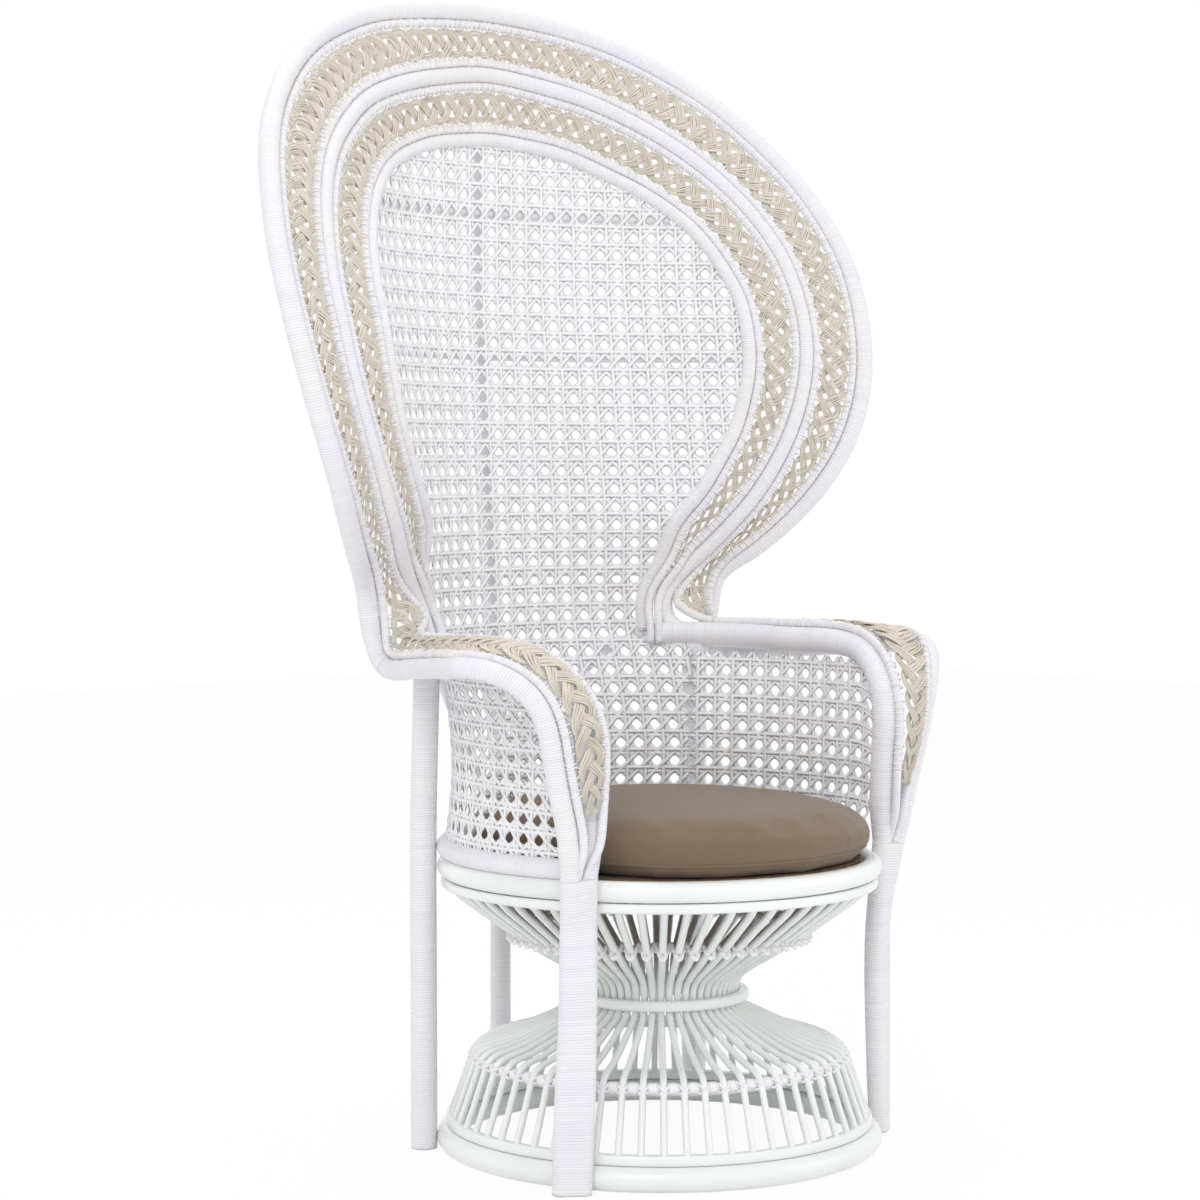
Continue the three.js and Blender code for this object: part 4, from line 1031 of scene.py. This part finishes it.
def weave(sheet, w):
    # Pairs of upright and level strands, and single strands both ways aslant, which leave eight sided holes.
    pitch = w["pitch"]
    left, right, bottom, top = sheet.u[0], sheet.u[-1], sheet.z[0], sheet.z[-1]
    zAll = np.arange(bottom, top, w["step"])
    uAll = np.arange(left, right, w["step"])
    found = []
    for k in np.arange(math.floor(left / pitch), math.ceil(right / pitch) + 1):
        for twin in (-1, 1):
            u = (k + 0.5) * pitch + twin * w["apart"] + 0 * zAll
            found += strand(sheet, u, zAll, -w["twin"] * twin, math.pi * (zAll / pitch + (twin > 0)), w)
    for k in np.arange(math.floor(bottom / pitch), math.ceil(top / pitch) + 1):
        for twin in (-1, 1):
            z = (k + 0.5) * pitch + twin * w["apart"] + 0 * uAll
            found += strand(sheet, uAll, z, w["twin"] * twin, math.pi * (uAll / pitch + (twin > 0)), w)
    tall = top - bottom
    run = np.arange(0, tall + pitch, w["step"] * 0.8)
    z = math.floor(bottom / pitch) * pitch + run
    phase = 2 * math.pi * run / pitch
    for k in np.arange(math.floor((left - tall) / pitch) - 1, math.ceil((right + tall) / pitch) + 1):
        start = (k + 0.5) * pitch
        found += strand(sheet, start + run, z, w["layer"], phase, w)
        found += strand(sheet, start - run, z, -w["layer"], phase + math.pi, w)
    return found


def caneParts(w):
    onArm = railLine[(railLine[:, 2] > w["railFrom"]) & (railLine[:, 1] < 0.0)]
    railAngle, railHeight = np.degrees(np.arctan2(onArm[:, 0], onArm[:, 1])), onArm[:, 2]
    back = Sheet(backPoint, w["bottom"], innerHalfLine[-1, 2] - 0.004, np.linspace(-1, 1, 161))
    piece("cane_weave_back", weave(back, w), caneMat, stands=["cane_back"])

    def armPoint(z, share):
        # Arm panel: the radius draws in between the hoop and the rail, and out to the front post.
        angle = lerp(w["bend"], w["frontEdge"], share)
        radius = lerp(panelRadius(risen(z)), w["frontRadius"], share ** 4 * np.clip(risen(z) / 0.2, 0, 1))
        top = np.minimum(np.interp(angle, railAngle[::-1], railHeight[::-1]), w["armTop"])
        return polar(angle, radius, lerp(w["bottom"], top, (z - w["bottom"]) / (w["armTop"] - w["bottom"])))

    arm = Sheet(armPoint, w["bottom"], w["armTop"], np.linspace(0, 1, 121))
    bothSides("cane_weave_arm", weave(arm, w), caneMat, "cane_arm")


caneParts(cane)

# Bars, spine and braces behind the cane.
backBars = {"heights": (0.713, 0.860, 1.001, 1.189), "radius": 0.008, "off": 0.0103, "reach": 0.95,
            "stations": 90, "faces": 14}
spine = {"foot": 0.308, "straight": (0, 0.2, 0.368), "off": 0.0304, "top": (0.355, 1.282), "radius": 0.0135,
         "faces": 18}
brace = {"radius": 0.007, "faces": 14, "top": (40.5, 0.3008, 0.634), "foot": (0.0205, 0.308, 0.406),
         "shares": ((1, 0), (.72, .14), (.44, .4), (.2, .72), (0, 1))}


def barParts(w):
    shares = np.linspace(-w["reach"], w["reach"], w["stations"])
    for n, z in enumerate(w["heights"]):
        row = backPoint(np.full(len(shares), z), shares)
        out = unit(np.cross(along(row), np.array([0.0, 0.0, 1.0])))
        line = row + out * w["off"] * np.sign(out[len(out) // 2, 1])
        wrapped(f"bar_wrap_{n + 1}", [tube(line, w["radius"], w["faces"])], f"back_bar_{n + 1}")


def spineParts(w, heights):
    points = [(0, w["foot"], z) for z in w["straight"]]
    points += [(0, float(centreDepth(z)) + w["off"], z) for z in heights] + [(0, *w["top"])]
    wrapped("spine_wrap", [tube(through(points, passes=4), w["radius"], w["faces"])], "rear_leg_spine")


def braceParts(w):
    top, foot = polar(*w["top"]), w["foot"]
    points = [(lerp(foot[0], top[0], a), lerp(foot[1], top[1], a * a), lerp(top[2], foot[2], d))
              for a, d in w["shares"]]
    part = tube(through(points, passes=4), w["radius"], w["faces"])
    bothSides("brace_wrap", [part], wrapMat, "back_brace")


barParts(backBars)
spineParts(spine, backBars["heights"])
braceParts(brace)
print("back done")

# Base: rings and slats. Hoops of round section are (radius, height, section), flat ones (radius, height,
# width, thickness).
base = {"slats": 60, "slat": 0.0042, "upperSlat": 0.0050, "swells": (0.195, 0.235), "corner": 0.004,
        "ring": (0.265, 0.015, 0.015), "trim": (0.261, 0.0367, 0.014, 0.0133),
        "shoulderHoop": (0.2255, 0.1105, 0.0045), "waist": (0.1063, 0.1924, 0.0135, 0.013),
        "scallopHoop": (0.1675, 0.2725, 0.0045), "seatTrim": (0.2675, 0.3356, 0.0135, 0.012),
        "seatRing": (0.266, 0.355, 0.013), "thickSteps": (180, 24), "thinSteps": (160, 12), "faces": 8}
lowerSlat = [(.2618, .036), (.2610, .042), (.2535, .0625), (.2445, .088), (.2350, .1145), (.2322, .1215),
             (.2262, .1266), (.200, .1345), (.170, .1455), (.130, .1645), (.106, .1768), (.0985, .1835)]
upperSlat = [(.0962, .194), (.0965, .206), (.101, .217), (.118, .231), (.145, .247), (.184, .2725),
             (.225, .302), (.258, .3275), (.264, .334)]


def flatHoop(radius, height, width, thickness, w):
    return hoop(radius, height, softBox(width, thickness, w["corner"]), w["thinSteps"][0])


def baseParts(w):
    painted("base_ring_round", [hoop(*w["ring"], *w["thickSteps"])], "base_ring")
    painted("seat_ring_round", [hoop(*w["seatRing"], *w["thickSteps"])], "seat_ring")
    painted("waist_ring_flat", [flatHoop(*w["waist"], w)], "waist_ring")
    profile = through([(r, 0, z) for r, z in lowerSlat + upperSlat], step=0.005, passes=2)
    radius = np.interp(profile[:, 2], w["swells"], (w["slat"], w["upperSlat"]))
    slats = []
    for turn in turns(w["slats"]):
        line = around(turn, profile[:, 0], profile[:, 2])
        aside = np.broadcast_to(np.array([math.cos(turn), -math.sin(turn), 0.0]), line.shape)
        slats.append(tube(line, radius, w["faces"], aside))
    slats += [flatHoop(*w["trim"], w), flatHoop(*w["seatTrim"], w)]
    painted("slat_cage_round", slats, "lower_slat_cage", "upper_slat_cage")
    painted("shoulder_hoop_round", [hoop(*w["shoulderHoop"], *w["thinSteps"])], "shoulder_hoop")
    painted("scallop_hoop_round", [hoop(*w["scallopHoop"], *w["thinSteps"])], "scallop_hoop")


baseParts(base)

# Lashing at the shoulder: the hoop is bound with thick white cord, fuller between the slats, and a crossed
# pair of loops holds each slat to it.
lashing = {"radius": 0.2268, "height": 0.1150, "thin": 0.0052, "full": 0.0078, "crossAt": 0.2312,
           "cord": 0.0019, "across": 0.0074, "deep": 0.0078, "tilt": 38, "over": 0.0006, "steps": 12,
           "spacing": 0.004}


def lashingParts(w):
    count = base["slats"]
    turn = turns(count * 10)
    fullness = (0.5 - 0.5 * np.cos(count * turn)) ** 0.6
    patches = [cordRing(around(turn, w["radius"], w["height"]), lerp(w["thin"], w["full"], fullness), 8,
                        turn * w["radius"])]
    up = np.array([0.0, 0.0, 1.0])
    oval = turns(w["steps"])[:, None]
    far = np.arange(w["steps"]) * w["spacing"]
    for angle in turns(count):
        out = np.array([math.sin(angle), math.cos(angle), 0.0])
        aside = np.array([math.cos(angle), -math.sin(angle), 0.0])
        for way in (-1, 1):
            tilt = math.radians(way * w["tilt"])
            centre = out * w["crossAt"] + up * w["height"] + up * w["over"] * way
            line = (centre + w["across"] * np.cos(oval) * (math.cos(tilt) * aside + math.sin(tilt) * up)
                    + w["deep"] * np.sin(oval) * out)
            patches.append(cordLoop(line, centre, w["cord"], 5, far))
    piece("shoulder_lashing", patches, cordMat)


lashingParts(lashing)

# Garland: the cord runs round the seat as a ring that dips under the front of each slat and passes behind
# between them.
scallop = {"radius": 0.1838, "height": 0.2722, "cord": 0.0031, "swing": 0.0086, "wrap": 0.0066}


def scallopParts(w):
    turn = turns(base["slats"] * 16)
    wave = np.cos(base["slats"] * turn)
    dip = np.sign(wave) * np.abs(wave) ** 0.8
    line = around(turn, w["radius"] + w["wrap"] * dip, w["height"] - w["swing"] * dip)
    piece("scallop_cord", [cordRing(line, w["cord"], 7, turn * w["radius"])], cordMat)


scallopParts(scallop)
print("base done")

# Cushion: starts a little inside its CAD solid, is blown up as cloth, and gets its seam afterwards.
cushion = {"shrink": 0.985, "voxel": 0.006, "pressure": 4.0, "frames": 20, "cap": 0.008, "seamHeight": 0.0165,
           "seam": 0.0016, "seamOut": 0.0005, "seamSteps": 240, "spacing": 0.006}


def placesOf(mesh):
    places = np.empty(len(mesh.vertices) * 3, np.float32)
    mesh.vertices.foreach_get("co", places)
    return places.reshape(-1, 3)


def applyModifier(made, modifier):
    with bpy.context.temp_override(object=made, active_object=made, selected_objects=[made]):
        bpy.ops.object.modifier_apply(modifier=modifier.name)


def simulate(made, w):
    # Cloth blown up by pressure. Its moves are limited, and it stays above its underside.
    before = placesOf(made.data)
    clothMod = made.modifiers.new("cloth", "CLOTH")
    s = clothMod.settings
    s.use_pressure = True
    s.uniform_pressure_force = w["pressure"]
    s.effector_weights.gravity = 0
    s.quality = 4
    clothMod.point_cache.frame_start = 1
    clothMod.point_cache.frame_end = w["frames"]
    for number in range(1, w["frames"] + 1):
        scene.frame_set(number)
    applyModifier(made, clothMod)
    move = placesOf(made.data) - before
    size = np.linalg.norm(move, axis=1, keepdims=True)
    placed = before + move * np.minimum(1.0, w["cap"] / np.maximum(size, 1e-9))
    placed[:, 2] = np.maximum(placed[:, 2], before[:, 2].min())
    made.data.vertices.foreach_set("co", placed.ravel())
    scene.frame_set(1)


def cushionForm(w):
    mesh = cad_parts["seat_cushion"].data.copy()
    made = bpy.data.objects.new("cushion_cloth", mesh)
    scene.collection.objects.link(made)
    mesh.materials.clear()
    bpy.context.view_layer.objects.active = made
    made.select_set(True)
    low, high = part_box("seat_cushion")
    centre = (low + high) / 2
    middle = np.array([centre.x, centre.y, low.z])
    mesh.vertices.foreach_set("co", ((placesOf(mesh) - middle) * w["shrink"] + middle).ravel())
    remesh = made.modifiers.new("even", "REMESH")
    remesh.mode = "VOXEL"
    remesh.voxel_size = w["voxel"]
    applyModifier(made, remesh)
    simulate(made, w)
    smooth = made.modifiers.new("smooth", "SMOOTH")
    smooth.factor = 0.5
    smooth.iterations = 6
    applyModifier(made, smooth)
    made.data.polygons.foreach_set("use_smooth", np.full(len(made.data.polygons), True))
    made.data.materials.clear()
    made.data.materials.append(clothMat)
    return made, middle


def cushionParts(w):
    made, middle = cushionForm(w)
    tree = BVHTree.FromObject(made, bpy.context.evaluated_depsgraph_get())
    line = []
    for turn in turns(w["seamSteps"]):
        way = Vector((math.sin(turn), math.cos(turn), 0))
        start = Vector((middle[0], middle[1], middle[2] + w["seamHeight"])) + way * 0.5
        line.append(np.array(tree.ray_cast(start, -way)[0]) - shift)
    line = np.array(line)
    line = line + w["seamOut"] * unit(line - line.mean(axis=0))
    seam = cordLoop(line, line.mean(axis=0), w["seam"], 8, np.arange(w["seamSteps"]) * w["spacing"])
    piece("cushion_seam", [seam], clothMat, "cushion")
    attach(made, "cushion")
    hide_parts("seat_cushion")


cushionParts(cushion)
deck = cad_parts["seat_deck"]
deck.data.materials.clear()
deck.data.materials.append(boardMat)
print("cushion done")


# Floor, light and background. Each lamp is (power, size, place).
studio = {"floorSize": 14.0, "floorTone": 0.94, "floorGlow": 0.93, "world": 0.80, "target": (0, 0, 0.7),
          "lamps": {"key": (50.0, 2.2, (-3.0, -2.4, 2.9)), "fill": (20.0, 2.6, (2.9, -2.6, 1.6)),
                    "top": (30.0, 2.5, (0.3, 1.0, 3.6))}}
white = (1.0, 1.0, 1.0)


def floorFinish(w):
    # The floor shows nearly white itself, but lights the chair by its tone.
    f = Finish("pale_floor", Roughness=0.9, Specular_IOR_Level=0.1)
    f.colour((w["floorTone"],) * 3)
    glow = f.node("ShaderNodeEmission", None, {"Color": white, "Strength": 1.0})
    f.blend(f.seen() * w["floorGlow"], Wire(f, f.shader.outputs[0]), glow, "Material Output")
    return f.material


def floorPart(w):
    half = w["floorSize"] / 2
    mesh = bpy.data.meshes.new("floor")
    corners = [(-half, -half, 0), (half, -half, 0), (half, half, 0), (-half, half, 0)]
    mesh.from_pydata(corners, [], [(0, 1, 2, 3)])
    mesh.materials.append(floorFinish(w))
    made = bpy.data.objects.new("floor", mesh)
    scene.collection.objects.link(made)


def lamp(name, power, size, place, target):
    data = bpy.data.lights.new(name, "AREA")
    data.energy = power
    data.shape = "SQUARE"
    data.size = size
    made = bpy.data.objects.new(name, data)
    made.location = place
    made.rotation_euler = (Vector(target) - Vector(place)).to_track_quat("-Z", "Y").to_euler()
    scene.collection.objects.link(made)


def surroundings(w):
    # The background is white where it is seen, and dimmer where it lights the chair.
    world = bpy.data.worlds.new("studio")
    scene.world = world
    world.use_nodes = True
    tree = Tree(world.node_tree)
    dim = tree.nodes["Background"]
    tree.put(dim.inputs["Color"], white)
    tree.put(dim.inputs["Strength"], w["world"])
    bright = tree.node("ShaderNodeBackground", None, {"Color": white, "Strength": 1.0})
    tree.blend(tree.seen(), Wire(tree, dim.outputs[0]), bright, "World Output")


floorPart(studio)
for name, settings in studio["lamps"].items():
    lamp(name, *settings, studio["target"])
surroundings(studio)
scene.view_settings.view_transform = "Standard"

print("all pieces made")
